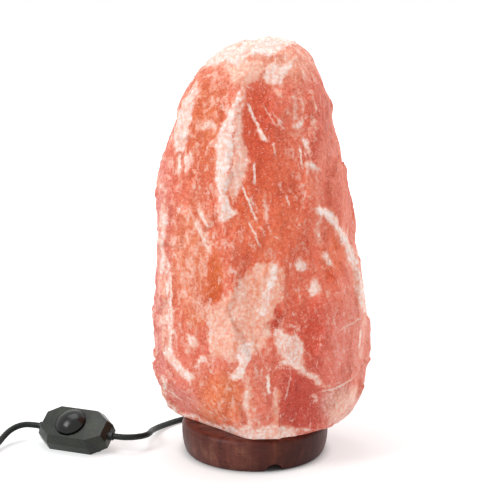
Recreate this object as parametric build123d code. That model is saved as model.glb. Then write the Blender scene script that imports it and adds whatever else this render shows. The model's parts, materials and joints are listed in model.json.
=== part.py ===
from build123d import *
from math import atan2, cos, degrees, hypot, pi, radians, sin, sqrt, tan
import os

# Salt crystal lamp: a hewn salt crystal on a turned wooden base, lit by a small screw-in bulb
# in a clip-in holder, on a black cord with an inline rotary dimmer and a two-pin plug.
# Millimetres. The origin is the base's axis on the surface that it stands on, +Z up, front -Y.

# wooden base
base_radius = 60.0
base_flare = 5.5
base_height = 27.0
base_curve_height = 19.0
base_shoulder = 5.0
base_bore_radius = 20.0
recess_radius = 31.0
recess_depth = 11.0
notch_radius = 7.8
notch_sink = 1.2
cord_notch_angle = 105.0
notch_count = 2
base_screw_count = 4
base_screw_first_angle = 80.0
base_screw_circle = 44.0
base_screw_radius = 1.9
base_screw_length = 34.0
base_screw_head_radius = 3.8
base_screw_head_height = 2.4
screw_seat_thickness = 19.0
counterbore_depth = base_height - screw_seat_thickness
anchor_radius = 4.0
anchor_length = 26.0
screw_clearance = 0.1

# salt crystal: height above the base, then reach to the left, right, front and back
crystal_rings = [
    (0.0, 60.0, 62.0, 57.0, 56.0),
    (6.0, 69.0, 76.0, 62.0, 62.0),
    (14.0, 76.5, 84.0, 66.0, 67.0),
    (30.0, 80.5, 92.0, 70.0, 71.0),
    (52.0, 82.5, 95.6, 72.0, 74.0),
    (85.0, 82.8, 93.0, 72.0, 75.0),
    (120.0, 81.5, 90.5, 71.0, 74.0),
    (155.0, 80.3, 80.5, 69.0, 71.0),
    (188.0, 79.0, 77.0, 66.0, 67.0),
    (215.0, 74.0, 72.0, 61.0, 62.0),
    (240.0, 67.0, 66.0, 55.0, 56.0),
    (262.0, 59.5, 58.5, 47.0, 49.0),
    (282.0, 46.0, 51.0, 38.0, 40.0),
    (297.0, 30.0, 43.0, 28.0, 30.0),
    (307.0, 14.0, 30.0, 16.0, 18.0),
]
crystal_height = 311.0
crystal_peak = (10.0, 0.0)
crystal_corners = 14
crystal_squareness = 0.86
crystal_hewing = (1.0, 1.03, 0.965, 1.02, 0.97, 1.03, 0.975, 1.0, 1.04, 0.955, 1.02, 0.98, 1.03, 0.965)
crystal_roughness = 0.018
crystal_cut_angle = 224.0
crystal_cut_reach = 43.0
crystal_cut_lean = 50.0
crystal_cut_size = 200.0
crystal_bore_radius = 25.0
crystal_bore_depth = 112.0
drill_tip_height = 9.0

# clip-in lamp holder
plate_radius = 28.0
plate_thickness = 1.2
plate_gap = 0.2
wire_hole_radius = 4.0
holder_radius = 13.5
holder_height = 32.0
holder_foot_height = 4.0
carrier_radius = 11.0
carrier_height = 5.2
shell_bore_radius = 7.7
shell_wall = 0.5
shell_thread_depth = 0.4
thread_pitch = 2.82
socket_gap = 0.2
clip_count = 3
clip_first_angle = 15.0
clip_width = 8.0
clip_thickness = 0.5
clip_reach = 19.1
clip_low_radius = 15.2
band_height = 6.0
band_thickness = 0.5
rivet_radius = 1.2
grip_length = 14.0
grip_width = 16.0
grip_height = 8.6
grip_cord_height = 3.9
grip_screw_radius = 1.4
grip_screw_spacing = 11.0
wire_radius = 0.9
wire_spacing = 2.2
terminal_screw_radius = 1.5
terminal_circle = 8.8
contact_thickness = 0.6
contact_rise = 2.4
contact_radius = 3.0

# bulb
bulb_radius = 14.0
bulb_length = 67.0
bulb_glass_wall = 0.7
cap_radius = 6.9
cap_wall = 0.5
cap_height = 19.0
cap_neck_height = 4.0
bulb_seat_height = 6.0
cap_insulator_height = 2.4
cap_contact_radius = 2.4
cap_contact_height = 0.7
contact_gap = 0.3
stem_radius = 2.6
stem_height = 17.0
lead_radius = 0.35
lead_spread = 4.0
lead_height = 12.0
filament_radius = 0.3

# cord
cord_diameter = 5.0
cord_gap = 0.5
cord_lead = 6.6

# inline dimmer, in its own frame: x along the cord, y across, z out of the face
dimmer_centre = (-147.5, 1.3)
dimmer_yaw = -22.0
dimmer_length = 62.0
dimmer_width = 36.0
dimmer_side_length = 38.0
dimmer_end_width = 18.0
dimmer_face_length = 54.0
dimmer_face_width = 30.0
dimmer_face_side_length = 34.0
dimmer_face_end_width = 15.0
dimmer_top_height = 11.0
dimmer_upper_rim = 3.0
dimmer_lower_rim = 5.0
dimmer_bottom_depth = 11.0
dimmer_bottom_length = 44.0
dimmer_bottom_width = 18.0
dimmer_bottom_side_length = 30.0
dimmer_bottom_end_width = 9.0
dimmer_wall = 1.8
face_fall_start = 14.0
face_fall = 2.0
knob_offset = -2.0
knob_radius = 12.5
knob_well_gap = 0.7
knob_well_depth = 1.4
knob_clearance = 0.3
knob_rise = 1.5
knob_dome = 5.5
knob_wall = 1.6
well_floor = 1.6
shaft_radius = 3.0
shaft_clearance = 0.05
shaft_length = 11.4
pot_radius = 8.0
pot_height = 6.0
pot_bush_radius = 4.5
pot_nut_radius = 6.5
pot_nut_height = 1.6
board_length = 38.0
board_width = 24.0
board_thickness = 1.6
board_floor = -4.0
case_screw_radius = 1.3
case_screw_head_radius = 2.6
case_screw_head_height = 1.6
case_screw_places = ((22.5, -10.0), (-22.5, 10.0))
case_boss_radius = 2.7
grommet_radius = 4.0
grommet_neck_radius = 3.6
grommet_length = 3.0
clamp_place = 26.0
clamp_width = 12.6
clamp_length = 2.4
clamp_thickness = 1.6
clamp_screw_radius = 0.8
clamp_screw_spacing = 8.4
clamp_boss_radius = 1.5
cord_end_place = 24.0

# coil of put-away cord
coil_centre = (-260.5, -62.0)
coil_radius = 39.5
coil_pitch = 5.6
coil_layer_rise = 5.6
coil_turns_per_layer = 3.5
tie_count = 2
tie_first_angle = 135.0
tie_width = 8.0
tie_thickness = 0.8
tie_slack = 0.3

# plug
plug_front_width = 35.3
plug_rear_width = 15.0
plug_thickness = 13.7
plug_length = 35.0
plug_edge = 2.5
pin_radius = 2.0
pin_spacing = 18.6
pin_length = 19.0
pin_sleeve_length = 10.0
pin_core_radius = 1.5
pin_root = 12.0
relief_length = 22.0
relief_rear_radius = 3.4
relief_front_radius = 5.2
relief_grooves = 5
relief_groove_depth = 0.7

# heights and places that follow
cord_radius = cord_diameter / 2
plate_top = recess_depth - plate_gap
plate_bottom = plate_top - plate_thickness
holder_top = plate_top + holder_height
carrier_bottom = plate_top + holder_foot_height
carrier_top = carrier_bottom + carrier_height
contact_top = carrier_top + contact_rise
bulb_foot = contact_top + contact_gap
cap_bottom = bulb_foot + cap_contact_height + cap_insulator_height
cap_top = cap_bottom + cap_height
bulb_top = bulb_foot + bulb_length
bulb_neck_radius = cap_radius - shell_thread_depth - cap_wall
neck_bottom = cap_bottom + bulb_seat_height
stem_bottom = neck_bottom + bulb_glass_wall
stem_top = stem_bottom + stem_height
clip_top = holder_top - 2.0
grip_face = grip_length
notch_direction = Vector(cos(radians(cord_notch_angle)), sin(radians(cord_notch_angle)), 0)
coil_height = tie_thickness + tie_slack + cord_radius
coil_top_height = coil_height + coil_layer_rise
plug_axis_height = plug_thickness / 2

# the dimmer lies on its lower front bevel, turned about its long axis
bevel_run = (dimmer_width - dimmer_bottom_width) / 2
bevel_rise = dimmer_bottom_depth - dimmer_lower_rim
dimmer_roll = degrees(atan2(bevel_rise, bevel_run))
bevel_length = hypot(bevel_run, bevel_rise)
dimmer_axis_height = (
    dimmer_width / 2 * bevel_rise + dimmer_lower_rim * bevel_run
) / bevel_length
dimmer_along = Vector(cos(radians(dimmer_yaw)), sin(radians(dimmer_yaw)), 0)
dimmer_across = Vector(-sin(radians(dimmer_yaw)), cos(radians(dimmer_yaw)), 0)
dimmer_normal = dimmer_across * -sin(radians(dimmer_roll)) + Vector(0, 0, 1) * cos(radians(dimmer_roll))
dimmer_origin = Vector(dimmer_centre[0], dimmer_centre[1], dimmer_axis_height)
dimmer_place = Plane(origin=dimmer_origin, x_dir=dimmer_along, z_dir=dimmer_normal).location
dimmer_exit = dimmer_length / 2 + grommet_length
lamp_side_exit = dimmer_origin + dimmer_along * dimmer_exit
plug_side_exit = dimmer_origin - dimmer_along * dimmer_exit

# cord from the holder, out at the back notch and round to the dimmer
lamp_cord_route = [
    tuple(notch_direction * grip_face + Vector(0, 0, grip_cord_height)),
    tuple(notch_direction * (grip_face + 12.5) + Vector(0, 0, grip_cord_height)),
    (-11.6, 41.5, 2.9),
    (-17.6, 54.5, 2.5),
    (-26.0, 65.0, 2.5),
    (-37.5, 71.5, 2.5),
    (-51.0, 71.5, 2.5),
    (-64.0, 64.0, 2.5),
    (-74.5, 52.5, 2.8),
    (-81.8, 40.5, 3.9),
    (-86.0, 28.5, 5.6),
    (-87.3, 17.5, 8.0),
    (-87.2, 8.6, 10.1),
    (-88.2, 0.0, 11.8),
    (-91.3, -6.9, 12.9),
    (-96.6, -11.7, 13.6),
    (-103.1, -14.1, 14.0),
    tuple(lamp_side_exit + dimmer_along * cord_lead),
    tuple(lamp_side_exit),
]

# cord from the dimmer to the coil
supply_cord_route = [
    tuple(plug_side_exit),
    tuple(plug_side_exit - dimmer_along * cord_lead),
    (-192.6, 16.9, 14.5),
    (-199.6, 14.5, 13.3),
    (-205.2, 9.4, 10.9),
    (-209.0, 2.7, 7.9),
    (-211.7, -5.4, 5.6),
    (-215.0, -15.4, 4.3),
    (-218.4, -28.5, 3.8),
    (coil_centre[0] + coil_radius, -43.0, coil_height),
    (coil_centre[0] + coil_radius, coil_centre[1] + cord_diameter, coil_height),
]

# cord from the coil to the plug
tail_x = coil_centre[0] - coil_radius
plug_rear_y = 20.0
tail_route = [
    (tail_x, coil_centre[1] + cord_diameter, coil_top_height),
    (tail_x, coil_centre[1] + 14.0, coil_top_height),
    (tail_x - 1.0, -34.0, 6.9),
    (tail_x - 1.5, -19.0, 4.4),
    (tail_x - 1.0, -4.0, 4.4),
    (tail_x, plug_rear_y - 9.0, plug_axis_height),
    (tail_x, plug_rear_y, plug_axis_height),
]


def disc(radius, bottom, top, x=0.0, y=0.0):
    return Pos(x, y, (bottom + top) / 2) * Cylinder(radius, top - bottom)


def ring(outer, inner, bottom, top, x=0.0, y=0.0):
    return disc(outer, bottom, top, x, y) - disc(inner, bottom - 1, top + 1, x, y)


def block(length, width, bottom, top, x=0.0, y=0.0):
    return Pos(x, y, (bottom + top) / 2) * Box(length, width, top - bottom)


def turned(points):
    """A solid of revolution about Z from (radius, height) points."""
    return revolve(make_face(Polyline(*[(r, 0, z) for r, z in points], close=True)), Axis.Z)


def around(count, first_angle):
    """The angles of count things spaced evenly about the axis."""
    return [first_angle + 360.0 * i / count for i in range(count)]


def polar(radius, angle):
    return radius * cos(radians(angle)), radius * sin(radians(angle))


def group(parts):
    """Separate solids in one node."""
    return Compound(children=[s for p in parts for s in p.solids()])


def placed(place, shape):
    """A node's solids, each moved to where the node belongs."""
    return group(place * s for s in shape.solids())


def corner_radii(points):
    """The largest arc that each corner of a cord's route has room for."""
    radii = []
    for a, b, c in zip(points, points[1:], points[2:]):
        before, after = Vector(*b) - Vector(*a), Vector(*c) - Vector(*b)
        half_turn = radians(before.get_angle(after)) / 2
        radii.append(0.45 * min(before.length, after.length) / tan(half_turn))
    return radii


def cord_along(name, points):
    """A round cord of straight runs joined by tangent arcs."""
    radii = corner_radii(points)
    path = FilletPolyline(*points, radius=radii)
    start = Plane(origin=path @ 0, z_dir=path % 0)
    tube = sweep(start * Circle(cord_radius), path=path)
    share = tube.volume / (pi * cord_radius**2 * path.length)
    print(f"{name}: {path.length:.1f} mm long, volume over section times length {share:.4f}")
    print("  radii " + " ".join(f"{r:.1f}" for r in radii))
    return tube


# wooden base


def wood_base():
    """Turned disc: a quarter-round foot, a straight wall and a soft shoulder."""
    wall_top = base_height - base_shoulder
    foot_radius = base_radius - base_flare
    flare_centre = (foot_radius, base_curve_height)
    shoulder_start = base_radius - base_shoulder
    outline = [
        Line((0, 0), (foot_radius, 0)),
        EllipticalCenterArc(flare_centre, base_flare, base_curve_height, 270, arc_size=90),
        Line((base_radius, base_curve_height), (base_radius, wall_top)),
        CenterArc((shoulder_start, wall_top), base_shoulder, 0, 90),
        Line((shoulder_start, base_height), (0, base_height)),
        Line((0, base_height), (0, 0)),
    ]
    body = revolve(Plane.XZ * make_face(outline), Axis.Z)
    body -= disc(base_bore_radius, -1, base_height + 1)
    body -= disc(recess_radius, -1, recess_depth)
    for angle in around(notch_count, cord_notch_angle):
        channel = Pos(base_radius / 2 + recess_radius / 2, 0, -notch_sink) * (
            Rot(0, 90, 0) * Cylinder(notch_radius, base_radius + 4 - recess_radius + 8)
        )
        body -= Rot(0, 0, angle) * channel
    for angle in around(base_screw_count, base_screw_first_angle):
        x, y = polar(base_screw_circle, angle)
        body -= disc(base_screw_head_radius + screw_clearance, -1, counterbore_depth, x, y)
        body -= disc(base_screw_radius + screw_clearance, 0, base_height + 1, x, y)
    return body


def base_screws():
    """Wood screws from below into the crystal's anchors."""
    screws = []
    for angle in around(base_screw_count, base_screw_first_angle):
        x, y = polar(base_screw_circle, angle)
        head_bottom = counterbore_depth - base_screw_head_height
        head = disc(base_screw_head_radius, head_bottom, counterbore_depth, x, y)
        shank = disc(base_screw_radius, counterbore_depth, counterbore_depth + base_screw_length, x, y)
        slot = block(2 * base_screw_head_radius + 1, 0.8, 0, head_bottom + 1.0)
        screws.append(head + shank - Pos(x, y, 0) * slot)
    return group(screws)


def screw_anchors():
    """Sleeves set into the crystal, which the base screws bite into."""
    bottom = base_height
    sleeves = []
    for angle in around(base_screw_count, base_screw_first_angle):
        x, y = polar(base_screw_circle, angle)
        sleeves.append(
            ring(anchor_radius, base_screw_radius + screw_clearance, bottom, bottom + anchor_length, x, y)
        )
    return group(sleeves)


# salt crystal


def crystal_corner(level, corner):
    """One corner of the hewn block, squarish in plan and uneven from corner to corner."""
    height, left, right, front, back = crystal_rings[level]
    swing = 4.0 * sin(1.3 * level) if level else 0.0
    angle = radians(360.0 * corner / crystal_corners + swing)
    across, along = cos(angle), sin(angle)
    uneven = 1.0 if level == 0 else crystal_hewing[corner]
    uneven += crystal_roughness * sin(1.9 * level + 2.3 * corner) if level else 0.0
    reach_x = right if across > 0 else left
    reach_y = back if along > 0 else front
    square = crystal_squareness if level else 1.0
    x = reach_x * abs(across) ** square * (1 if across > 0 else -1)
    y = reach_y * abs(along) ** square * (1 if along > 0 else -1)
    return Vector(x * uneven, y * uneven, base_height + height)


def triangle(a, b, c):
    return Face(Wire.make_polygon([a, b, c], close=True))


def crystal_block():
    """The hewn block: rings of corners joined by flat facets, and a peak."""
    levels = len(crystal_rings)
    corners = [[crystal_corner(k, i) for i in range(crystal_corners)] for k in range(levels)]
    peak = Vector(crystal_peak[0], crystal_peak[1], base_height + crystal_height)
    foot = Face(Wire.make_polygon(corners[0], close=True))
    facets = [foot]
    for k in range(levels - 1):
        for i in range(crystal_corners):
            j = (i + 1) % crystal_corners
            a, b = corners[k][i], corners[k][j]
            c, d = corners[k + 1][j], corners[k + 1][i]
            if (i + k) % 2:
                facets += [triangle(a, b, c), triangle(a, c, d)]
            else:
                facets += [triangle(a, b, d), triangle(b, c, d)]
    for i in range(crystal_corners):
        facets.append(triangle(corners[-1][i], corners[-1][(i + 1) % crystal_corners], peak))
    return Solid(Shell(facets))


def foot_cut():
    """What the slanted plane takes off the block's foot, at the front left."""
    x, y = polar(crystal_cut_reach, crystal_cut_angle)
    out_x, out_y = polar(sin(radians(crystal_cut_lean)), crystal_cut_angle)
    facing = Vector(out_x, out_y, -cos(radians(crystal_cut_lean)))
    plane = Plane(origin=(x, y, base_height), x_dir=(-out_y, out_x, 0), z_dir=facing)
    lump = Box(crystal_cut_size, crystal_cut_size, crystal_cut_size / 2)
    return plane * Pos(0, 0, crystal_cut_size / 4) * lump


def salt_crystal():
    """The block, drilled from below for the bulb and for the screw anchors."""
    body = crystal_block() - foot_cut()
    bore_top = base_height + crystal_bore_depth
    body -= disc(crystal_bore_radius, base_height - 1, bore_top)
    body -= Pos(0, 0, bore_top + drill_tip_height / 2) * Cone(crystal_bore_radius, 0.5, drill_tip_height)
    for angle in around(base_screw_count, base_screw_first_angle):
        x, y = polar(base_screw_circle, angle)
        body -= disc(anchor_radius, base_height - 1, base_height + anchor_length, x, y)
        screw_tip = counterbore_depth + base_screw_length + 1
        body -= disc(base_screw_radius + screw_clearance, base_height, screw_tip, x, y)
    return body


# lamp holder


def holder_plate():
    """Steel disc that closes the hole under the base, folded up at its rim."""
    plate = disc(plate_radius, plate_bottom, plate_top) - disc(wire_hole_radius, 0, base_height)
    for x, y in grip_screw_places():
        hole = disc(grip_screw_radius + screw_clearance, 0, base_height, x, y)
        plate -= grip_place() * hole
    return plate


def grip_screw_places():
    """Where the grip's screws are, in the grip's frame."""
    return [(grip_length / 2, side * grip_screw_spacing / 2) for side in (-1, 1)]


def grip_place():
    """The cord grip's frame: +X along the cord notch, out from the axis."""
    return Rot(0, 0, cord_notch_angle)


def cord_grip():
    """Clamp under the plate that holds the cord's sheath."""
    top = plate_bottom
    body = block(grip_length, grip_width, top - grip_height, top, grip_length / 2, 0)
    tunnel = Rot(0, 90, 0) * Cylinder(cord_radius - 0.3, grip_length + 2)
    body -= Pos(grip_length / 2, 0, grip_cord_height) * tunnel
    body -= disc(wire_hole_radius - 0.4, grip_cord_height, top + 1, 3.2, 0)
    for x, y in grip_screw_places():
        body -= disc(grip_screw_radius + screw_clearance, 0, top + 1, x, y)
    return grip_place() * body


def grip_screws():
    """Two screws through the cord grip into the plate."""
    head_top = plate_bottom - grip_height
    screws = []
    for x, y in grip_screw_places():
        head = disc(2.4, head_top - 0.9, head_top, x, y)
        screws.append(head + disc(grip_screw_radius, head_top, plate_top, x, y))
    return placed(grip_place(), group(screws))


def wires():
    """The cord's two conductors, from the cord's end up to the contact carrier."""
    pieces = []
    for side in (-1, 1):
        y = side * wire_spacing / 2
        points = [(grip_face, y, grip_cord_height), (1.4, y, grip_cord_height), (1.4, y, carrier_bottom)]
        path = FilletPolyline(*points, radius=2.4)
        start = Plane(origin=path @ 0, z_dir=path % 0)
        pieces.append(sweep(start * Circle(wire_radius), path=path))
    return placed(grip_place(), group(pieces))


def holder_foot():
    """Disc that seats the holder on the plate."""
    return ring(holder_radius, wire_hole_radius, plate_top, carrier_bottom)


def contact_carrier():
    """Insulating core that carries the terminals and the centre contact."""
    body = disc(carrier_radius, carrier_bottom, carrier_top)
    for x in (-terminal_circle, terminal_circle):
        body -= disc(terminal_screw_radius + 0.05, carrier_bottom + 2.0, carrier_top + 1, x, 0)
    return body


def terminal_screws():
    """Screws that clamp the conductors."""
    return group(
        disc(terminal_screw_radius, carrier_bottom + 2.0, carrier_top - 0.6, x, 0)
        for x in (-terminal_circle, terminal_circle)
    )


def centre_contact():
    """Sprung tongue that the bulb's tip presses."""
    foot = disc(contact_radius, carrier_top, carrier_top + contact_thickness)
    post = disc(contact_radius * 0.4, carrier_top, contact_top)
    pad = disc(contact_radius * 0.7, contact_top - contact_thickness, contact_top)
    return foot + post + pad


def thread_profile(radius, depth, bottom, top):
    """The wavy line of a rolled thread, as (radius, height) points."""
    points = []
    turns = int((top - bottom) / thread_pitch)
    for i in range(turns):
        z = bottom + i * thread_pitch
        points += [(radius - depth, z), (radius, z + thread_pitch / 2)]
    points.append((radius - depth, top))
    return points


def screw_shell():
    """Threaded sleeve that takes the bulb's cap."""
    bottom, top = carrier_top, holder_top - 3.0
    inner = thread_profile(shell_bore_radius, shell_thread_depth, bottom, top)
    outer_radius = shell_bore_radius + shell_wall
    return turned(inner + [(outer_radius, top), (outer_radius, bottom)])


def socket_shell():
    """Moulded outer body of the holder."""
    body = disc(holder_radius, carrier_bottom, holder_top)
    body -= disc(carrier_radius + socket_gap, carrier_bottom - 1, carrier_top)
    body -= disc(shell_bore_radius + shell_wall + socket_gap, carrier_bottom, holder_top + 1)
    return body


def clip_path():
    """One spring clip in its pressed-in shape: out from the band to the bore's wall and back."""
    start = holder_radius + band_thickness + clip_thickness / 2
    return [
        (start, clip_top),
        (start, clip_top - band_height - 1.5),
        (clip_reach, base_height - 2.0),
        (clip_reach, recess_depth + 9.0),
        (clip_low_radius, recess_depth + 2.5),
    ]


def clip_rivet_height():
    return clip_top - band_height / 2


def spring_clips():
    """Steel strips that hold the holder in the base's bore."""
    strip_face = Plane.XZ * trace(Polyline(*clip_path()), line_width=clip_thickness)
    strip = extrude(strip_face, amount=clip_width / 2, both=True)
    hole = Pos(holder_radius, 0, clip_rivet_height()) * (Rot(0, 90, 0) * Cylinder(rivet_radius, 8))
    return group(Rot(0, 0, a) * (strip - hole) for a in around(clip_count, clip_first_angle))


def clip_band():
    """Collar round the holder that the clips are riveted to."""
    body = ring(holder_radius + band_thickness, holder_radius, clip_top - band_height, clip_top)
    for angle in around(clip_count, clip_first_angle):
        hole = Pos(holder_radius, 0, clip_rivet_height()) * (Rot(0, 90, 0) * Cylinder(rivet_radius, 8))
        body -= Rot(0, 0, angle) * hole
    return body


def clip_rivets():
    """One rivet through each clip and the band."""
    outer = holder_radius + band_thickness + clip_thickness
    length = outer - holder_radius
    middle = holder_radius + length / 2 + 0.1
    shank = Pos(middle, 0, clip_rivet_height()) * (Rot(0, 90, 0) * Cylinder(rivet_radius, length - 0.2))
    knob = Rot(0, 90, 0) * Cylinder(rivet_radius * 1.6, 0.7)
    head = Pos(outer + 0.35, 0, clip_rivet_height()) * knob
    return group(Rot(0, 0, a) * (shank + head) for a in around(clip_count, clip_first_angle))


# bulb


def bulb_glass():
    """Blown envelope: a neck that the cap grips, a flare and a round top."""
    wall = bulb_glass_wall
    shoulder = cap_top + 11.0
    crown = bulb_top - bulb_radius

    def envelope(inset):
        neck, radius = bulb_neck_radius - inset, bulb_radius - inset
        start = neck_bottom + inset
        edges = [
            Line((0, 0, start), (neck, 0, start)),
            Line((neck, 0, start), (neck, 0, cap_top)),
            Bezier(
                (neck, 0, cap_top),
                (neck, 0, cap_top + 5.0),
                (radius, 0, shoulder - 4.0),
                (radius, 0, shoulder + 3.0),
            ),
            Line((radius, 0, shoulder + 3.0), (radius, 0, crown)),
        ]
        slant = radius * sqrt(0.5)
        edges.append(ThreePointArc((radius, 0, crown), (slant, 0, crown + slant), (0, 0, crown + radius)))
        edges.append(Line((0, 0, crown + radius), (0, 0, start)))
        return revolve(make_face(edges), Axis.Z)

    return envelope(0.0) - envelope(wall)


def bulb_cap():
    """Thin metal screw cap."""
    outer = thread_profile(cap_radius, shell_thread_depth, cap_bottom, cap_top - cap_neck_height)
    neck = cap_radius - shell_thread_depth
    mouth = cap_contact_radius + 1.2
    floor = cap_bottom + 1.0
    inner = [(neck, cap_top), (bulb_neck_radius, cap_top), (bulb_neck_radius, floor), (mouth, floor)]
    return turned(outer + inner + [(mouth, cap_bottom)])


def cap_insulator():
    """Black glass between the cap and its tip."""
    wide = cap_radius - shell_thread_depth - 0.6
    narrow = cap_contact_radius + 0.6
    return Pos(0, 0, cap_bottom - cap_insulator_height / 2) * Cone(narrow, wide, cap_insulator_height)


def cap_contact():
    """Solder tip at the end of the cap."""
    return disc(cap_contact_radius, bulb_foot, bulb_foot + cap_contact_height)


def bulb_stem():
    """Glass stem inside the bulb, standing on the neck's closed end."""
    foot_radius = bulb_neck_radius - bulb_glass_wall - 0.6
    foot = Pos(0, 0, stem_bottom + 3.0) * Cone(foot_radius, stem_radius, 6.0)
    body = foot + disc(stem_radius, stem_bottom + 6.0, stem_top)
    for side in (-1, 1):
        body -= disc(lead_radius, stem_top - 6.0, stem_top + 1, side * stem_radius * 0.55, 0)
    return body


def lead_wires():
    """Two leads that hold the filament."""
    pieces = []
    for side in (-1, 1):
        x = side * stem_radius * 0.55
        tip = (side * lead_spread, 0, stem_top + lead_height)
        points = [(x, 0, stem_top - 6.0), (x, 0, stem_top + 2.0), tip]
        path = FilletPolyline(*points, radius=2.0)
        pieces.append(sweep(Plane(origin=path @ 0, z_dir=path % 0) * Circle(lead_radius), path=path))
    return group(pieces)


def filament():
    """Fine wire bowed between the leads' tips."""
    tip = stem_top + lead_height + filament_radius
    path = ThreePointArc((-lead_spread, 0, tip), (0, 0, tip + 2.4), (lead_spread, 0, tip))
    return sweep(Plane(origin=path @ 0, z_dir=path % 0) * Circle(filament_radius), path=path)


# inline dimmer


def octagon(length, width, side_length, end_width, height):
    """An eight-sided outline at a height, as points."""
    x1, x2, y1, y2 = length / 2, side_length / 2, width / 2, end_width / 2
    corners = [(x1, -y2), (x1, y2), (x2, y1), (-x2, y1), (-x1, y2), (-x1, -y2), (-x2, -y1), (x2, -y1)]
    return [(x, y, height) for x, y in corners]


def prismoid(low, high):
    """A solid between two eight-sided outlines."""
    sections = [Face(Wire.make_polygon([Vector(*p) for p in s], close=True)) for s in (low, high)]
    return loft(sections, ruled=True)


def rim_outline(height, inset=0.0):
    return octagon(
        dimmer_length - 2 * inset,
        dimmer_width - 2 * inset,
        dimmer_side_length - inset,
        dimmer_end_width - inset,
        height,
    )


def face_outline(height, inset=0.0):
    return octagon(
        dimmer_face_length - 2 * inset,
        dimmer_face_width - 2 * inset,
        dimmer_face_side_length - inset,
        dimmer_face_end_width - inset,
        height,
    )


def bottom_outline(height, inset=0.0):
    return octagon(
        dimmer_bottom_length - 2 * inset,
        dimmer_bottom_width - 2 * inset,
        dimmer_bottom_side_length - inset,
        dimmer_bottom_end_width - inset,
        height,
    )


def grommet_cut():
    """The hole in each end of the case, on the parting line."""
    reach = dimmer_length + 2 * grommet_length
    return Rot(0, 90, 0) * Cylinder(grommet_radius, reach)


def top_outer():
    """The upper half's outside as a solid: an upright rim, slanted sides, one end falling away."""
    body = prismoid(rim_outline(0), rim_outline(dimmer_upper_rim))
    body += prismoid(rim_outline(dimmer_upper_rim), face_outline(dimmer_top_height))
    run = dimmer_length / 2 - face_fall_start
    tilt = degrees(atan2(face_fall, run))
    facet = Pos(run, 0, 10) * Box(2 * run, 60, 20)
    return body - Pos(face_fall_start, 0, dimmer_top_height) * (Rot(0, tilt, 0) * facet)


def bottom_outer():
    """The lower half's outside as a solid, with bevelled sides."""
    body = prismoid(rim_outline(-dimmer_lower_rim), rim_outline(0))
    return body + prismoid(bottom_outline(-dimmer_bottom_depth), rim_outline(-dimmer_lower_rim))


def well_height():
    """Height of the floor of the well that the knob sits in."""
    return dimmer_top_height - knob_well_depth


def pot_floor():
    """The control's underside; its body hangs under the well's floor."""
    return well_height() - well_floor - pot_height


def board_top():
    return board_floor + board_thickness


def case_head_seat():
    """Height of the faces that the case screws' heads bear on."""
    return -dimmer_lower_rim - 1.2


def dimmer_top_shell():
    """Upper half of the case, with the well that the knob sits in."""
    wall = dimmer_wall
    ceiling = dimmer_top_height - wall - 0.8
    body = top_outer()
    body -= prismoid(rim_outline(-1, wall), rim_outline(dimmer_upper_rim, wall))
    body -= prismoid(rim_outline(dimmer_upper_rim, wall), face_outline(ceiling, wall))
    well = knob_radius + knob_well_gap
    body += disc(well + wall, well_height() - well_floor, dimmer_top_height - 0.5, knob_offset, 0)
    body -= disc(well, well_height(), dimmer_top_height + 1, knob_offset, 0)
    body -= disc(pot_bush_radius + screw_clearance, -1, dimmer_top_height + 1, knob_offset, 0)
    for x, y in case_screw_places:
        body += disc(case_boss_radius, 0, dimmer_top_height, x, y) & top_outer()
        body -= disc(case_screw_radius, -1, dimmer_upper_rim + 2.5, x, y)
    return body - grommet_cut()


def dimmer_bottom_shell():
    """Lower half of the case, with posts for the board and ribs under the cord."""
    wall = dimmer_wall
    outer = bottom_outer()
    body = outer - prismoid(rim_outline(-dimmer_lower_rim, wall), rim_outline(1, wall))
    inner_floor = -dimmer_bottom_depth + wall
    body -= prismoid(bottom_outline(inner_floor, wall), rim_outline(-dimmer_lower_rim, wall))
    for x in (-17.0, 17.0):
        for y in (-6.0, 6.0):
            body += disc(1.2, inner_floor - 0.5, board_floor, x, y)
    for side in (-1, 1):
        x = side * clamp_place
        body += block(clamp_length, 5.0, -dimmer_bottom_depth, -cord_radius, x, 0) & outer
        for y in (-clamp_screw_spacing / 2, clamp_screw_spacing / 2):
            post = disc(clamp_boss_radius, -dimmer_bottom_depth, cord_radius - 0.2, x, y)
            body += post & (outer + block(dimmer_length, dimmer_width, 0, cord_radius))
            body -= disc(clamp_screw_radius, -cord_radius, cord_radius + 1, x, y)
    for x, y in case_screw_places:
        body += disc(case_boss_radius, -dimmer_bottom_depth, 0, x, y) & outer
        body -= disc(case_screw_radius + screw_clearance, -dimmer_bottom_depth - 1, 1, x, y)
        head = case_screw_head_radius + screw_clearance
        body -= disc(head, -dimmer_bottom_depth - 1, case_head_seat(), x, y)
    return body - grommet_cut()


def case_screws():
    """Screws that close the case from below."""
    seat = case_head_seat()
    return group(
        disc(case_screw_head_radius, seat - case_screw_head_height, seat, x, y)
        + disc(case_screw_radius, seat, dimmer_upper_rim + 2.1, x, y)
        for x, y in case_screw_places
    )


def along_case(radius, start, end, side, y=0.0, n=0.0):
    """A round bar along the case from one distance to another, at one end."""
    return Pos(side * (start + end) / 2, y, n) * (Rot(0, 90, 0) * Cylinder(radius, end - start))


def dimmer_grommets():
    """Collars that the cord comes out of at each end."""
    half = dimmer_length / 2
    pieces = []
    for side in (-1, 1):
        collar = along_case(grommet_neck_radius, half, half + grommet_length, side)
        collar += along_case(grommet_radius, half - dimmer_wall - 0.6, half, side)
        pieces.append(collar - along_case(cord_radius, 0, half + 9, side))
    return group(pieces)


def cord_ends():
    """The cord's two ends inside the case, through the grommets."""
    end = dimmer_length / 2 + grommet_length
    return group(along_case(cord_radius, cord_end_place, end, side) for side in (-1, 1))


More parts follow.
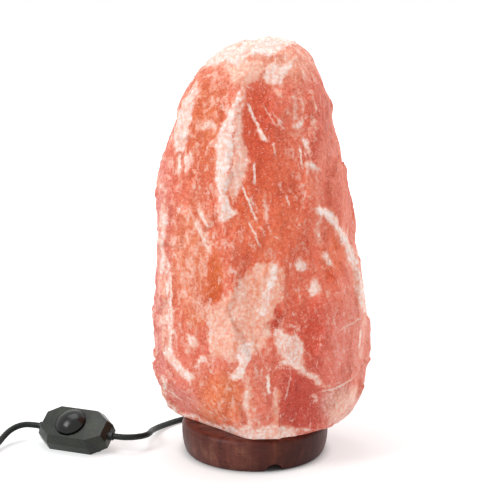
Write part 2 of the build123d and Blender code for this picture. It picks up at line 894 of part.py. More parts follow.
def cord_clamps():
    """Bars that hold the cord's ends down."""
    return group(
        block(clamp_length, clamp_width, cord_radius, cord_radius + clamp_thickness, side * clamp_place, 0)
        - disc(clamp_screw_radius, 0, 9, side * clamp_place, clamp_screw_spacing / 2)
        - disc(clamp_screw_radius, 0, 9, side * clamp_place, -clamp_screw_spacing / 2)
        for side in (-1, 1)
    )


def clamp_screws():
    """Screws through the clamps into the lower half."""
    top = cord_radius + clamp_thickness
    pieces = []
    for side in (-1, 1):
        for y in (-clamp_screw_spacing / 2, clamp_screw_spacing / 2):
            x = side * clamp_place
            pieces.append(disc(clamp_screw_radius, -cord_radius, top, x, y) + disc(1.4, top, top + 0.8, x, y))
    return group(pieces)


def dimmer_wires():
    """Conductors from the cord's ends down to the board."""
    reach = board_length / 2 - 2.0
    pieces = []
    for side in (-1, 1):
        for y in (-wire_spacing / 2, wire_spacing / 2):
            points = [(side * cord_end_place, y, 0), (side * reach, y, 0), (side * reach, y, board_top())]
            path = FilletPolyline(*points, radius=1.4)
            pieces.append(sweep(Plane(origin=path @ 0, z_dir=path % 0) * Circle(wire_radius), path=path))
    return group(pieces)


def circuit_board():
    """Board that carries the dimmer's parts."""
    return block(board_length, board_width, board_floor, board_top())


def potentiometer():
    """Rotary control with a bush through the well's floor."""
    bottom, top = pot_floor(), pot_floor() + pot_height
    body = disc(pot_radius, bottom, top, knob_offset, 0)
    body += disc(pot_bush_radius, top, well_height() + pot_nut_height + 0.2, knob_offset, 0)
    body -= disc(shaft_radius + shaft_clearance, bottom + 2.0, dimmer_top_height + 5, knob_offset, 0)
    for side in (-1, 1):
        body += block(1.2, 1.2, board_top(), bottom + 1.0, knob_offset + side * pot_radius * 0.6, 0)
    return body


def pot_nut():
    """Nut that clamps the control to the well's floor."""
    flat = extrude(Pos(0, 0, well_height()) * RegularPolygon(pot_nut_radius, 6), amount=pot_nut_height)
    return Pos(knob_offset, 0, 0) * flat - disc(pot_bush_radius, 0, dimmer_top_height + 5, knob_offset, 0)


def shaft_bottom():
    return pot_floor() + 2.0 + knob_clearance


def knob_shaft():
    """Shaft that the knob turns."""
    return disc(shaft_radius, shaft_bottom(), shaft_bottom() + shaft_length, knob_offset, 0)


def dimmer_knob():
    """Low domed knob, hollow under its skirt, bored to grip the shaft."""
    bottom = well_height() + knob_clearance
    rim = dimmer_top_height + knob_rise
    sphere = (knob_radius**2 + knob_dome**2) / (2 * knob_dome)
    cap = Pos(knob_offset, 0, rim + knob_dome - sphere) * Sphere(sphere)
    body = disc(knob_radius, bottom, rim, knob_offset, 0)
    body += disc(knob_radius, rim, rim + knob_dome, knob_offset, 0) & cap
    body -= disc(knob_radius - knob_wall, bottom - 1, rim - 0.2, knob_offset, 0)
    return body - disc(shaft_radius, bottom - 1, shaft_bottom() + shaft_length, knob_offset, 0)


def triac():
    """Power switch with its metal tab, flat on the board."""
    case = block(7.0, 9.0, board_top(), board_top() + 4.0, 11.5, -6.5)
    tab = block(3.0, 9.0, board_top(), board_top() + 1.3, 16.4, -6.5)
    return case + tab


def capacitor():
    """Boxed film capacitor on the board."""
    return block(5.0, 11.0, board_top(), board_top() + 6.0, -12.8, -5.5)


def resistors():
    """Small axial parts on the board."""
    return group(
        Pos(9.5, y, board_top() + 1.2) * (Rot(0, 90, 0) * Cylinder(1.2, 6.5)) for y in (6.0, 9.5)
    )


# coil


def coil_radius_at(turn):
    """Distance from the coil's axis after a number of turns, in, then round and out again."""
    climb_end = coil_turns_per_layer + 0.5
    inner = coil_radius - coil_pitch * coil_turns_per_layer
    if turn < coil_turns_per_layer:
        return coil_radius - coil_pitch * turn
    if turn > climb_end:
        return inner + coil_pitch * (turn - climb_end)
    t = turn - coil_turns_per_layer
    return inner - coil_pitch * t + 2 * coil_pitch * t * t


def coil_height_at(turn):
    """Height of the coil's centreline, climbing one layer in the half turn where it reverses."""
    s = min(max((turn - coil_turns_per_layer) / 0.5, 0.0), 1.0)
    return coil_height + coil_layer_rise * s * s * (3 - 2 * s)


def coil_point(turn):
    angle = -2 * pi * turn
    r = coil_radius_at(turn)
    return Vector(coil_centre[0] + r * cos(angle), coil_centre[1] + r * sin(angle), coil_height_at(turn))


def coil_tangent(turn, last_turn):
    if turn in (0, last_turn):
        return Vector(0, -1 if turn == 0 else 1, 0)
    step = 0.0005
    return (coil_point(turn + step) - coil_point(turn - step)).normalized()


def biarc(a, start, b, end):
    """Two arcs that leave a along start and reach b along end."""
    across, both = b - a, start + end
    side = 2 * (start.dot(end) - 1)
    along = across.dot(both)
    reach = (along - sqrt(along**2 - side * across.dot(across))) / side
    if reach < 0:
        reach = (along + sqrt(along**2 - side * across.dot(across))) / side
    first, last = a + start * reach, b - end * reach
    middle = (first + last) * 0.5
    return [TangentArc(a, middle, tangent=start), TangentArc(middle, b, tangent=(last - first).normalized())]


def coil_gap(points, turn_step):
    """The least gap between the surfaces of two places of the coil over half a turn apart."""
    apart = int(0.5 / turn_step)
    least = min(
        (points[i] - points[j]).length for i in range(len(points)) for j in range(i + apart, len(points))
    )
    return least - cord_diameter


def cord_coil():
    """Seven and a half turns of cord in two layers, wound in and out again."""
    last_turn = 2 * coil_turns_per_layer + 0.5
    quarters = int(4 * last_turn)
    stops = [i / 4 for i in range(quarters + 1)]
    edges = [Line(coil_point(0) + Vector(0, cord_diameter, 0), coil_point(0))]
    for t0, t1 in zip(stops, stops[1:]):
        edges += biarc(
            coil_point(t0), coil_tangent(t0, last_turn), coil_point(t1), coil_tangent(t1, last_turn)
        )
    end = coil_point(last_turn)
    edges.append(Line(end, end + Vector(0, cord_diameter, 0)))
    path = Wire([e.edge() if hasattr(e, "edge") else e for e in edges])
    tube = sweep(Plane(origin=path @ 0, z_dir=path % 0) * Circle(cord_radius), path=path)
    steps = 40
    samples = [coil_point(i / steps) for i in range(int(last_turn * steps) + 1)]
    share = tube.volume / (pi * cord_radius**2 * path.length)
    print(f"cord_coil: {path.length:.1f} mm long, volume over section times length {share:.4f}")
    print(f"cord_coil: least gap to itself {coil_gap(samples, 1 / steps):.2f} mm")
    return tube


def coil_ties():
    """Strap loops round the coil's turns, which the coil rests on."""
    inner = coil_radius - coil_pitch * coil_turns_per_layer - coil_pitch / 8
    low = inner - cord_radius - cord_gap
    high = coil_radius + cord_radius + cord_gap
    bottom, top = tie_thickness, coil_top_height + cord_radius + tie_slack
    mid, width, height = (low + high) / 2, high - low, top - bottom
    outer_loop = RectangleRounded(width + 2 * tie_thickness, height + 2 * tie_thickness, 3.0)
    inner_loop = RectangleRounded(width, height, 3.0 - tie_thickness)
    loop = Plane.XZ * (Pos(mid, (bottom + top) / 2) * (outer_loop - inner_loop))
    strap = extrude(loop, amount=tie_width / 2, both=True)
    middle = Pos(coil_centre[0], coil_centre[1], 0)
    return group(middle * (Rot(0, 0, a) * strap) for a in around(tie_count, tie_first_angle))


# plug: its frame has +Y out of the pins' face, origin at the rear of the body


def plug_place():
    return Pos(tail_x, plug_rear_y + relief_length, plug_axis_height)


def plug_body():
    """Flat moulded body, narrow where the cord enters."""
    rear, front = plug_rear_width / 2, plug_front_width / 2
    bends = (plug_length * 0.45, plug_length * 0.35, plug_length * 0.78)
    outline = [Line((-rear, 0), (rear, 0)), Line((front, plug_length), (-front, plug_length))]
    for side in (-1, 1):
        start, neck = (side * rear, 0), (side * rear, bends[0])
        swell, shoulder = (side * front, bends[1]), (side * front, bends[2])
        outline.append(Bezier(start, neck, swell, shoulder))
        outline.append(Line(shoulder, (side * front, plug_length)))
    body = extrude(make_face(outline), amount=plug_thickness / 2, both=True)
    rims = body.edges().filter_by(lambda e: abs(abs(e.center().Z) - plug_thickness / 2) < 0.01)
    body = chamfer(rims, plug_edge)
    for x in (-pin_spacing / 2, pin_spacing / 2):
        body -= pin_bar(pin_core_radius, plug_length - pin_root, plug_length, x)
    return plug_place() * body


def pin_bar(radius, start, end, x):
    """A round bar along the pins, from one distance to another."""
    return Pos(x, (start + end) / 2, 0) * (Rot(90, 0, 0) * Cylinder(radius, end - start))


def plug_pins():
    """Round contact pins, thinner where their sleeves are."""
    pieces = []
    sleeve_end = plug_length + pin_sleeve_length
    for x in (-pin_spacing / 2, pin_spacing / 2):
        core = pin_bar(pin_core_radius, plug_length - pin_root, sleeve_end, x)
        bare = pin_bar(pin_radius, sleeve_end, plug_length + pin_length, x)
        bare = chamfer(bare.edges().sort_by(Axis.Y)[-1], 0.6)
        pieces.append(core + bare)
    return placed(plug_place(), group(pieces))


def pin_sleeves():
    """Insulating sleeves on the pins' roots."""
    sleeve_end = plug_length + pin_sleeve_length
    sleeves = group(
        pin_bar(pin_radius, plug_length, sleeve_end, x)
        - pin_bar(pin_core_radius, plug_length - 1, sleeve_end + 1, x)
        for x in (-pin_spacing / 2, pin_spacing / 2)
    )
    return placed(plug_place(), sleeves)


def plug_strain_relief():
    """Tapered sleeve with grooves that lets the cord bend gently."""
    points = [(0, -relief_length), (relief_rear_radius, -relief_length)]
    step = relief_length / (relief_grooves + 1)
    for i in range(relief_grooves):
        y = -relief_length + (i + 0.7) * step
        share = (y + relief_length) / relief_length
        radius = relief_rear_radius + (relief_front_radius - relief_rear_radius) * share
        points += [
            (radius, y),
            (radius - relief_groove_depth, y + 0.2),
            (radius - relief_groove_depth, y + 1.2),
            (radius, y + 1.4),
        ]
    points += [(relief_front_radius, 0), (0, 0)]
    body = revolve(make_face(Polyline(*points, close=True)), Axis.Y)
    return plug_place() * body


def in_dimmer(shape):
    return placed(dimmer_place, shape)


parts = {
    "wood_base": wood_base(),
    "base_screws": base_screws(),
    "screw_anchors": screw_anchors(),
    "salt_crystal": salt_crystal(),
    "holder_plate": holder_plate(),
    "cord_grip": cord_grip(),
    "grip_screws": grip_screws(),
    "holder_wires": wires(),
    "holder_foot": holder_foot(),
    "contact_carrier": contact_carrier(),
    "terminal_screws": terminal_screws(),
    "centre_contact": centre_contact(),
    "screw_shell": screw_shell(),
    "socket_shell": socket_shell(),
    "spring_clips": spring_clips(),
    "clip_band": clip_band(),
    "clip_rivets": clip_rivets(),
    "bulb_glass": bulb_glass(),
    "bulb_cap": bulb_cap(),
    "cap_insulator": cap_insulator(),
    "cap_contact": cap_contact(),
    "bulb_stem": bulb_stem(),
    "lead_wires": lead_wires(),
    "filament": filament(),
    "dimmer_top_shell": in_dimmer(dimmer_top_shell()),
    "dimmer_bottom_shell": in_dimmer(dimmer_bottom_shell()),
    "case_screws": in_dimmer(case_screws()),
    "dimmer_grommets": in_dimmer(dimmer_grommets()),
    "circuit_board": in_dimmer(circuit_board()),
    "potentiometer": in_dimmer(potentiometer()),
    "triac": in_dimmer(triac()),
    "capacitor": in_dimmer(capacitor()),
    "resistors": in_dimmer(resistors()),
    "cord_ends": in_dimmer(cord_ends()),
    "cord_clamps": in_dimmer(cord_clamps()),
    "clamp_screws": in_dimmer(clamp_screws()),
    "dimmer_wires": in_dimmer(dimmer_wires()),
    "pot_nut": in_dimmer(pot_nut()),
    "knob_shaft": in_dimmer(knob_shaft()),
    "dimmer_knob": in_dimmer(dimmer_knob()),
    "lamp_cord": cord_along("lamp_cord", lamp_cord_route),
    "supply_cord": cord_along("supply_cord", supply_cord_route),
    "cord_coil": cord_coil(),
    "plug_cord": cord_along("plug_cord", tail_route),
    "coil_ties": coil_ties(),
    "plug_strain_relief": plug_strain_relief(),
    "plug_body": plug_body(),
    "plug_pins": plug_pins(),
    "pin_sleeves": pin_sleeves(),
}

os.makedirs("parts", exist_ok=True)
for name, shape in parts.items():
    export_step(shape, f"parts/{name}.step")
print(f"dimmer lies at a roll of {dimmer_roll:.2f} degrees, its axis {dimmer_axis_height:.2f} mm up")
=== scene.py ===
import json
import math
import bmesh
import bpy
import numpy as np
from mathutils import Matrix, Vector, noise
from mathutils.kdtree import KDTree


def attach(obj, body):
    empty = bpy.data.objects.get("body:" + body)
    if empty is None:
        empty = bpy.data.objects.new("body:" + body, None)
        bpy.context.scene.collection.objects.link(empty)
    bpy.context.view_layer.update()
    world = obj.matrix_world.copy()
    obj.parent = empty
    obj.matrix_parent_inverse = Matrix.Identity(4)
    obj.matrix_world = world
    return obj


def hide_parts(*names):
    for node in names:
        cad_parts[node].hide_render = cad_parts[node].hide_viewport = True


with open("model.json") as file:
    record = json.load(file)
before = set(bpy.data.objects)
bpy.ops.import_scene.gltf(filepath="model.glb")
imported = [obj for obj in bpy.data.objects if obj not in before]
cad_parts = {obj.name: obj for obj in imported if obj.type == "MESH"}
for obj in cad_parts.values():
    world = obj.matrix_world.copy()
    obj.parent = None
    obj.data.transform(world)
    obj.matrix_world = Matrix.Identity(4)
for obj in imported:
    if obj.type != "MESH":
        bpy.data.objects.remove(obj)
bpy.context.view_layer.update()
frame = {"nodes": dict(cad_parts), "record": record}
cadNodes = frame["nodes"]
print("frame loaded:", len(cadNodes), "nodes")


# small helpers

def inMetres(points):
    return [tuple(value / 1000.0 for value in point) for point in points]


def fromHex(text):
    # sRGB hex to linear, with full alpha
    parts = [int(text[i:i + 2], 16) / 255.0 for i in (1, 3, 5)]
    linear = [p / 12.92 if p <= 0.04045 else ((p + 0.055) / 1.055) ** 2.4 for p in parts]
    return (*linear, 1.0)


def linkObject(name, data):
    made = bpy.data.objects.new(name, data)
    bpy.context.scene.collection.objects.link(made)
    return made


def aimFrom(thing, place, aim):
    # cameras and lights look along their own -Z
    thing.location = place
    thing.rotation_euler = (Vector(aim) - Vector(place)).to_track_quat("-Z", "Y").to_euler()


def bakedMesh(source, name):
    # the evaluated shape as a plain mesh
    graph = bpy.context.evaluated_depsgraph_get()
    made = bpy.data.meshes.new_from_object(source.evaluated_get(graph), depsgraph=graph)
    made.name = name
    return made


def reshape(mesh, change):
    # one change to a mesh in place
    shape = bmesh.new()
    shape.from_mesh(mesh)
    change(shape)
    shape.to_mesh(mesh)
    shape.free()


weldDistance = 0.00001


def copyOfNode(nodeName, pieceName):
    # a node's triangles, merged into a closed mesh
    shape = bmesh.new()
    shape.from_mesh(cadNodes[nodeName].data)
    bmesh.ops.remove_doubles(shape, verts=shape.verts, dist=weldDistance)
    mesh = bpy.data.meshes.new(pieceName)
    shape.to_mesh(mesh)
    shape.free()
    return linkObject(pieceName, mesh)


def smoothShade(piece, sharpFrom=None):
    # smooth faces, where an angle is given with the sharper edges kept
    def keepSharp(shape):
        for edge in shape.edges:
            if len(edge.link_faces) == 2:
                edge.smooth = edge.calc_face_angle(0.0) < sharpFrom

    mesh = piece.data
    mesh.polygons.foreach_set("use_smooth", [True] * len(mesh.polygons))
    if sharpFrom is not None:
        reshape(mesh, keepSharp)


def giveFinish(thing, material):
    thing.data.materials.clear()
    thing.data.materials.append(material)


def addPiece(piece, body, slotName, material, *replaced):
    giveFinish(piece, material)
    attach(piece, body)
    if replaced:
        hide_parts(*replaced)
    return piece


# node trees

class Nodes:
    # a thin wrapper that adds nodes to a tree and joins them by socket name
    def __init__(self, tree):
        self.tree = tree

    def add(self, kind, values=(), **settings):
        node = self.tree.nodes.new(kind)
        for key, value in settings.items():
            setattr(node, key, value)
        return self.fill(node, dict(values))

    def fill(self, node, values):
        for key, value in values.items():
            if isinstance(value, bpy.types.NodeSocket):
                self.tree.links.new(value, node.inputs[key])
            else:
                node.inputs[key].default_value = fromHex(value) if isinstance(value, str) else value
        return node

    def first(self, kind, values=(), **settings):
        return self.add(kind, values, **settings).outputs[0]

    def maths(self, kind, *values):
        return self.first("ShaderNodeMath", enumerate(values), operation=kind)

    def vectorMaths(self, kind, *values):
        return self.first("ShaderNodeVectorMath", enumerate(values), operation=kind)

    def scaled(self, value, times, plus=0.0):
        return self.maths("MULTIPLY_ADD", value, times, plus)

    def parts(self, vector):
        return self.add("ShaderNodeSeparateXYZ", {"Vector": vector}).outputs

    def remap(self, value, low, high, newLow=0.0, newHigh=1.0, kind="SMOOTHSTEP"):
        values = {"Value": value, "From Min": low, "From Max": high, "To Min": newLow, "To Max": newHigh}
        return self.first("ShaderNodeMapRange", values, interpolation_type=kind)


class Shader(Nodes):
    # a material's tree, read in the piece's own coordinates
    def __init__(self, name):
        self.material = bpy.data.materials.new(name)
        self.material.use_nodes = True
        super().__init__(self.material.node_tree)
        self.surface = self.tree.nodes["Principled BSDF"]
        self.place = self.add("ShaderNodeTexCoord").outputs["Object"]

    def mapped(self, *scale):
        return self.first("ShaderNodeMapping", {"Vector": self.place, "Scale": scale})

    def noise(self, scale, detail=4.0, rough=0.55, twist=0.0, vector=None):
        values = {"Vector": vector or self.place, "Scale": scale, "Detail": detail, "Roughness": rough}
        return self.first("ShaderNodeTexNoise", {**values, "Distortion": twist})

    def ramp(self, factor, stops):
        node = self.add("ShaderNodeValToRGB", {"Fac": factor})
        node.color_ramp.interpolation = "EASE"
        band = node.color_ramp.elements
        while len(band) < len(stops):
            band.new(0.5)
        for element, (place, colour) in zip(band, stops):
            element.position = place
            element.color = fromHex(colour) if isinstance(colour, str) else (*colour, 1.0)
        return node.outputs["Color"]

    def mix(self, factor, first, second, kind="MIX"):
        # this node's colours go in at 6 and 7 and come out at 2
        values = {0: factor, 6: first, 7: second}
        return self.add("ShaderNodeMix", values, data_type="RGBA", blend_type=kind).outputs[2]

    def attribute(self, name, output="Fac"):
        return self.add("ShaderNodeAttribute", attribute_name=name).outputs[output]

    def bump(self, height, strength, distance, after=None):
        values = {"Height": height, "Strength": strength, "Distance": distance}
        return self.first("ShaderNodeBump", values if after is None else {**values, "Normal": after})

    def finish(self, **values):
        names = {"colour": "Base Color", "rough": "Roughness", "metal": "Metallic", "normal": "Normal",
                 "ior": "IOR", "specular": "Specular IOR Level", "glowColour": "Emission Color",
                 "glow": "Emission Strength", "through": "Transmission Weight", "inside": "Subsurface Weight",
                 "insideReach": "Subsurface Radius", "insideScale": "Subsurface Scale"}
        self.fill(self.surface, {names[key]: value for key, value in values.items()})
        return self.material


def mouldedPlastic(name, colour, lighter, rough=0.42, grain=2600.0, depth=0.25, **more):
    # moulded skin: faint mottling and a fine even texture
    shader = Shader(name)
    tint = shader.ramp(shader.noise(scale=55.0, detail=3.0), [(0.3, colour), (0.75, lighter)])
    smear = shader.noise(scale=180.0, detail=2.0)
    roughness = shader.remap(smear, 0.3, 0.7, newLow=rough - 0.05, newHigh=rough + 0.06)
    normal = shader.bump(shader.noise(grain, detail=2.0), strength=depth, distance=0.0001)
    return shader.finish(colour=tint, rough=roughness, normal=normal, **more)


def rolledMetal(name, colour, lighter, rough=0.3):
    # drawn or plated metal: fine lines one way and cloudy wear
    shader = Shader(name)
    lines = shader.noise(scale=900.0, detail=3.0, vector=shader.mapped(1.0, 1.0, 0.04))
    wear = shader.noise(scale=120.0, detail=5.0)
    tint = shader.ramp(wear, [(0.35, colour), (0.7, lighter)])
    both = shader.maths("ADD", lines, wear)
    roughness = shader.remap(both, 0.7, 1.4, newLow=rough - 0.08, newHigh=rough + 0.14)
    normal = shader.bump(lines, strength=0.2, distance=0.00005)
    return shader.finish(colour=tint, metal=1.0, rough=roughness, normal=normal)


# camera

view = {
    "place": (-0.00404, -1.15, 0.42),
    "aim": (-0.00404, 0.0, 0.16768),
    "lens": 105.42,
    "sensor": 36.0,
    "pictureSize": 500.0,
}


def setCamera():
    data = bpy.data.cameras.new("photoCamera")
    data.lens = view["lens"]
    data.sensor_width = view["sensor"]
    camera = linkObject("photoCamera", data)
    aimFrom(camera, view["place"], view["aim"])
    bpy.context.scene.camera = camera


setCamera()
print("camera set")


# cord

cord = {
    "diameter": 5.0,
    "rounding": 7,
    "curveOrder": 3,
    "stepsPerPoint": 10,
    "coilCentre": (-260.5, -62.0),
    "coilRadius": 39.5,
    "coilPitch": 5.6,
    "coilHeight": 3.6,
    "layerRise": 5.6,
    "turnsPerLayer": 3.5,
    "climbTurn": 0.5,
    "pointsPerTurn": 16,
    "lampLength": 0.203,
    "plugLength": 1.54,
}

# from the holder's grip, out of the back notch and round to the dimmer
lampRoute = [
    (-3.623, 13.523, 3.9), (-6.859, 25.597, 3.9), (-11.6, 41.5, 2.9),
    (-17.6, 54.5, 2.5), (-26.0, 65.0, 2.5), (-37.5, 71.5, 2.5),
    (-51.0, 71.5, 2.5), (-64.0, 64.0, 2.5), (-74.5, 52.5, 2.8),
    (-81.8, 40.5, 3.9), (-86.0, 28.5, 5.6), (-87.3, 17.5, 8.0),
    (-87.2, 8.6, 10.1), (-88.2, 0.0, 11.8), (-91.3, -6.9, 12.9),
    (-96.6, -11.7, 13.6), (-103.1, -14.1, 14.0), (-109.856, -13.909, 14.145),
    (-115.976, -11.437, 14.145),
]

# from the dimmer's other end to the coil
supplyRoute = [
    (-179.024, 14.037, 14.145), (-185.144, 16.509, 14.145), (-192.6, 16.9, 14.5),
    (-199.6, 14.5, 13.3), (-205.2, 9.4, 10.9), (-209.0, 2.7, 7.9),
    (-211.7, -5.4, 5.6), (-215.0, -15.4, 4.3), (-218.4, -28.5, 3.8),
    (-221.0, -43.0, 3.6),
]

# from the coil to the plug's strain relief
tailRoute = [
    (-300.0, -48.0, 9.2), (-301.0, -34.0, 6.9), (-301.5, -19.0, 4.4),
    (-301.0, -4.0, 4.4), (-300.0, 11.0, 6.85), (-300.0, 20.0, 6.85),
]


def coilPoints():
    # in on the lower layer, round, and out again on the upper one
    points = []
    perLayer, pitch, climb = cord["turnsPerLayer"], cord["coilPitch"], cord["climbTurn"]
    total = 2 * perLayer + climb
    inner = cord["coilRadius"] - pitch * perLayer
    for i in range(int(total * cord["pointsPerTurn"]) + 1):
        turn = i / cord["pointsPerTurn"]
        part = min(max((turn - perLayer) / climb, 0.0), 1.0)
        if turn < perLayer:
            radius = cord["coilRadius"] - pitch * turn
        elif part < 1.0:
            radius = inner - pitch * (turn - perLayer) * (1.0 - part)
        else:
            radius = inner + pitch * (turn - perLayer - climb)
        height = cord["coilHeight"] + cord["layerRise"] * part * part * (3.0 - 2.0 * part)
        angle = -2.0 * math.pi * turn
        points.append((cord["coilCentre"][0] + radius * math.cos(angle),
                       cord["coilCentre"][1] + radius * math.sin(angle), height))
    return points


def cordPiece(name, route):
    curve = bpy.data.curves.new(name, "CURVE")
    curve.dimensions = "3D"
    curve.bevel_depth = cord["diameter"] / 2000.0
    curve.bevel_resolution = cord["rounding"]
    curve.resolution_u = cord["stepsPerPoint"]
    curve.use_fill_caps = True
    spline = curve.splines.new("NURBS")
    spline.points.add(len(route) - 1)
    for point, place in zip(spline.points, inMetres(route)):
        point.co = (*place, 1.0)
    spline.order_u = cord["curveOrder"]
    spline.use_endpoint_u = True
    return linkObject(name, curve)


def cordSheath():
    # soft sheath: dark, satin, with a slight wave along it
    shader = Shader("cordSheath")
    tint = shader.ramp(shader.noise(scale=90.0, detail=3.0), [(0.3, "#111715"), (0.75, "#1c2421")])
    normal = shader.bump(shader.noise(scale=700.0, detail=2.0), strength=0.18, distance=0.0002)
    return shader.finish(colour=tint, rough=0.46, normal=normal, specular=0.26)


sheath = cordSheath()
lampCord = cordPiece("lampCord", lampRoute)
plugCord = cordPiece("plugCord", supplyRoute + coilPoints() + tailRoute)
addPiece(lampCord, "cord_set", "black_cord", sheath, "lamp_cord")
addPiece(plugCord, "cord_set", "black_cord", sheath, "supply_cord", "cord_coil", "plug_cord")
print("cords laid")


# salt crystal: a facet has count, tilt and depth, a grain size and height
crystal = {
    "voxel": 0.0018,
    "smoothPasses": 2,
    "smoothShare": 0.5,
    "facets": ((170, 0.16, 0.0022), (1500, 0.22, 0.0008)),
    "facetStretch": 0.5,
    "facetsNear": 3,
    "facetFacing": 0.55,
    "facetOutward": 0.5,
    "grains": ((0.020, 0.0010), (0.0070, 0.00045), (0.0030, 0.00028)),
    "crust": 0.0006,
    "boreRadius": 0.025,
    "boreTop": 0.149,
    "boreMargin": 0.004,
    "boreTopMargin": 0.003,
    "foot": 0.027,
    "footMargin": (0.0002, 0.004),
    "wholeSkin": 0.9,
    "seed": 11,
}

# how the front's drawing is laid on and the other sides are veined; a noise has size and seed
painting = {
    "frontTurn": (-0.15, 0.08),
    "frontDepth": 0.03,
    "wander": ((0.011, 3.2, 21), (0.0042, 2.2, 31)),
    "zoneFall": 1.2,
    "whiteReach": 8.0,
    "whiteEdge": (-0.35, 0.20),
    "crustEdge": (-0.1, 0.5),
    "tall": 0.45,
    "wildTints": ("#DF7C6E", "#D9643F"),
    "wildDrift": (0.030, 7),
    "driftEdge": (-0.35, 0.35),
    "wildWhite": (0.016, 9),
    "wildFleck": (0.006, 5),
    "wildFleckShare": 0.4,
    "wildWhiteFrom": 0.36,
    "wildWhiteGain": 2.2,
    "wildPower": 0.6,
    "wildFrost": (0.022, 13),
    "wildFrostLevel": 0.38,
    "wildFrostSwing": 0.45,
}

# salt seen from the front: middle and reach in the picture, colour, weight
saltTints = {
    "whole": ((260, 230), (400, 400), "#E37864", 0.5),
    "centre": ((262, 215), (44, 80), "#E0683C", 1.4),
    "upperLeft": ((205, 125), (24, 50), "#D2662F", 1.8),
    "middleLeft": ((192, 260), (20, 50), "#DE8159", 1.6),
    "leftFlank": ((160, 300), (8, 110), "#DC8580", 4.0),
    "deepPlane": ((259, 133), (13, 46), "#D24E26", 3.4),
    "deepTongue": ((241, 208), (8, 14), "#D75322", 3.0),
    "rightFacet": ((336, 150), (13, 90), "#E4826C", 3.0),
    # painted shade: the upper part of the right facet darker
    "rightFacetHigh": ((331, 118), (9, 24), "#CB6049", 4.0),
    "rightDeep": ((312, 336), (18, 26), "#CF4830", 3.0),
    "rightFacetLow": ((336, 205), (12, 26), "#DF6C55", 3.0),
    "facetEdge": ((316, 118), (6, 26), "#D2543A", 3.0),
    "facetEdgeLow": ((310, 155), (6, 12), "#C44A38", 2.6),
    # painted glow: a yellow-orange strip where the lamp's light shows through
    "yellowStrip": ((214, 281), (6, 24), "#D25C14", 6.0),
    "yellowLow": ((203, 316), (12, 6), "#E0722C", 3.0),
    # painted glow: the orange pool of the lamp's light low on the front
    "lowOrange": ((222, 398), (26, 18), "#E88552", 2.6),
    "leftLow": ((185, 400), (16, 16), "#E0807A", 2.4),
    "rightMiddle": ((300, 282), (20, 24), "#E6765C", 1.8),
    "hotSpot": ((333, 275), (6, 8), "#DB5424", 3.0),
    "darkRed": ((301, 402), (20, 26), "#C04234", 4.5),
    "darkFleck": ((326, 341), (6, 7), "#C5431F", 4.0),
    "underRidge": ((334, 248), (9, 20), "#E66C3A", 4.0),
    "rightFlank": ((360, 325), (9, 70), "#E48A7A", 3.0),
    "rightLow": ((335, 350), (18, 28), "#E88C80", 2.4),
    "crown": ((262, 62), (40, 18), "#E39A80", 1.8),
    "lowerRight": ((342, 406), (15, 14), "#E4BBB4", 5.0),
    "hollow": ((277, 317), (4, 8), "#C2391A", 6.0),
    "lowerMiddle": ((255, 400), (20, 24), "#E07E6C", 1.8),
}

# how thickly pale flecks lie over it
saltFrost = {
    "whole": ((260, 230), (400, 400), 0.48, 0.4),
    "top": ((250, 60), (46, 16), 0.85, 3.0),
    "upperLeft": ((205, 120), (22, 40), 0.58, 2.0),
    "deepPlane": ((262, 135), (15, 50), 0.12, 3.0),
    "deepLow": ((280, 200), (30, 40), 0.20, 2.0),
    "middleLeft": ((196, 275), (16, 44), 0.72, 3.0),
    "strip": ((215, 285), (5, 26), 0.10, 4.0),
    "leftFlank": ((160, 300), (8, 110), 0.62, 3.0),
    "rightFacet": ((337, 160), (13, 90), 0.05, 5.0),
    "rightBrow": ((300, 150), (12, 60), 0.55, 2.0),
    "rightMiddle": ((300, 285), (22, 30), 0.34, 2.0),
    "rightLow": ((345, 340), (20, 60), 0.30, 3.0),
    "darkRed": ((301, 402), (20, 26), 0.10, 4.0),
    "lowOrange": ((222, 400), (30, 20), 0.52, 2.0),
    "lowerRight": ((342, 406), (14, 12), 0.85, 4.0),
}
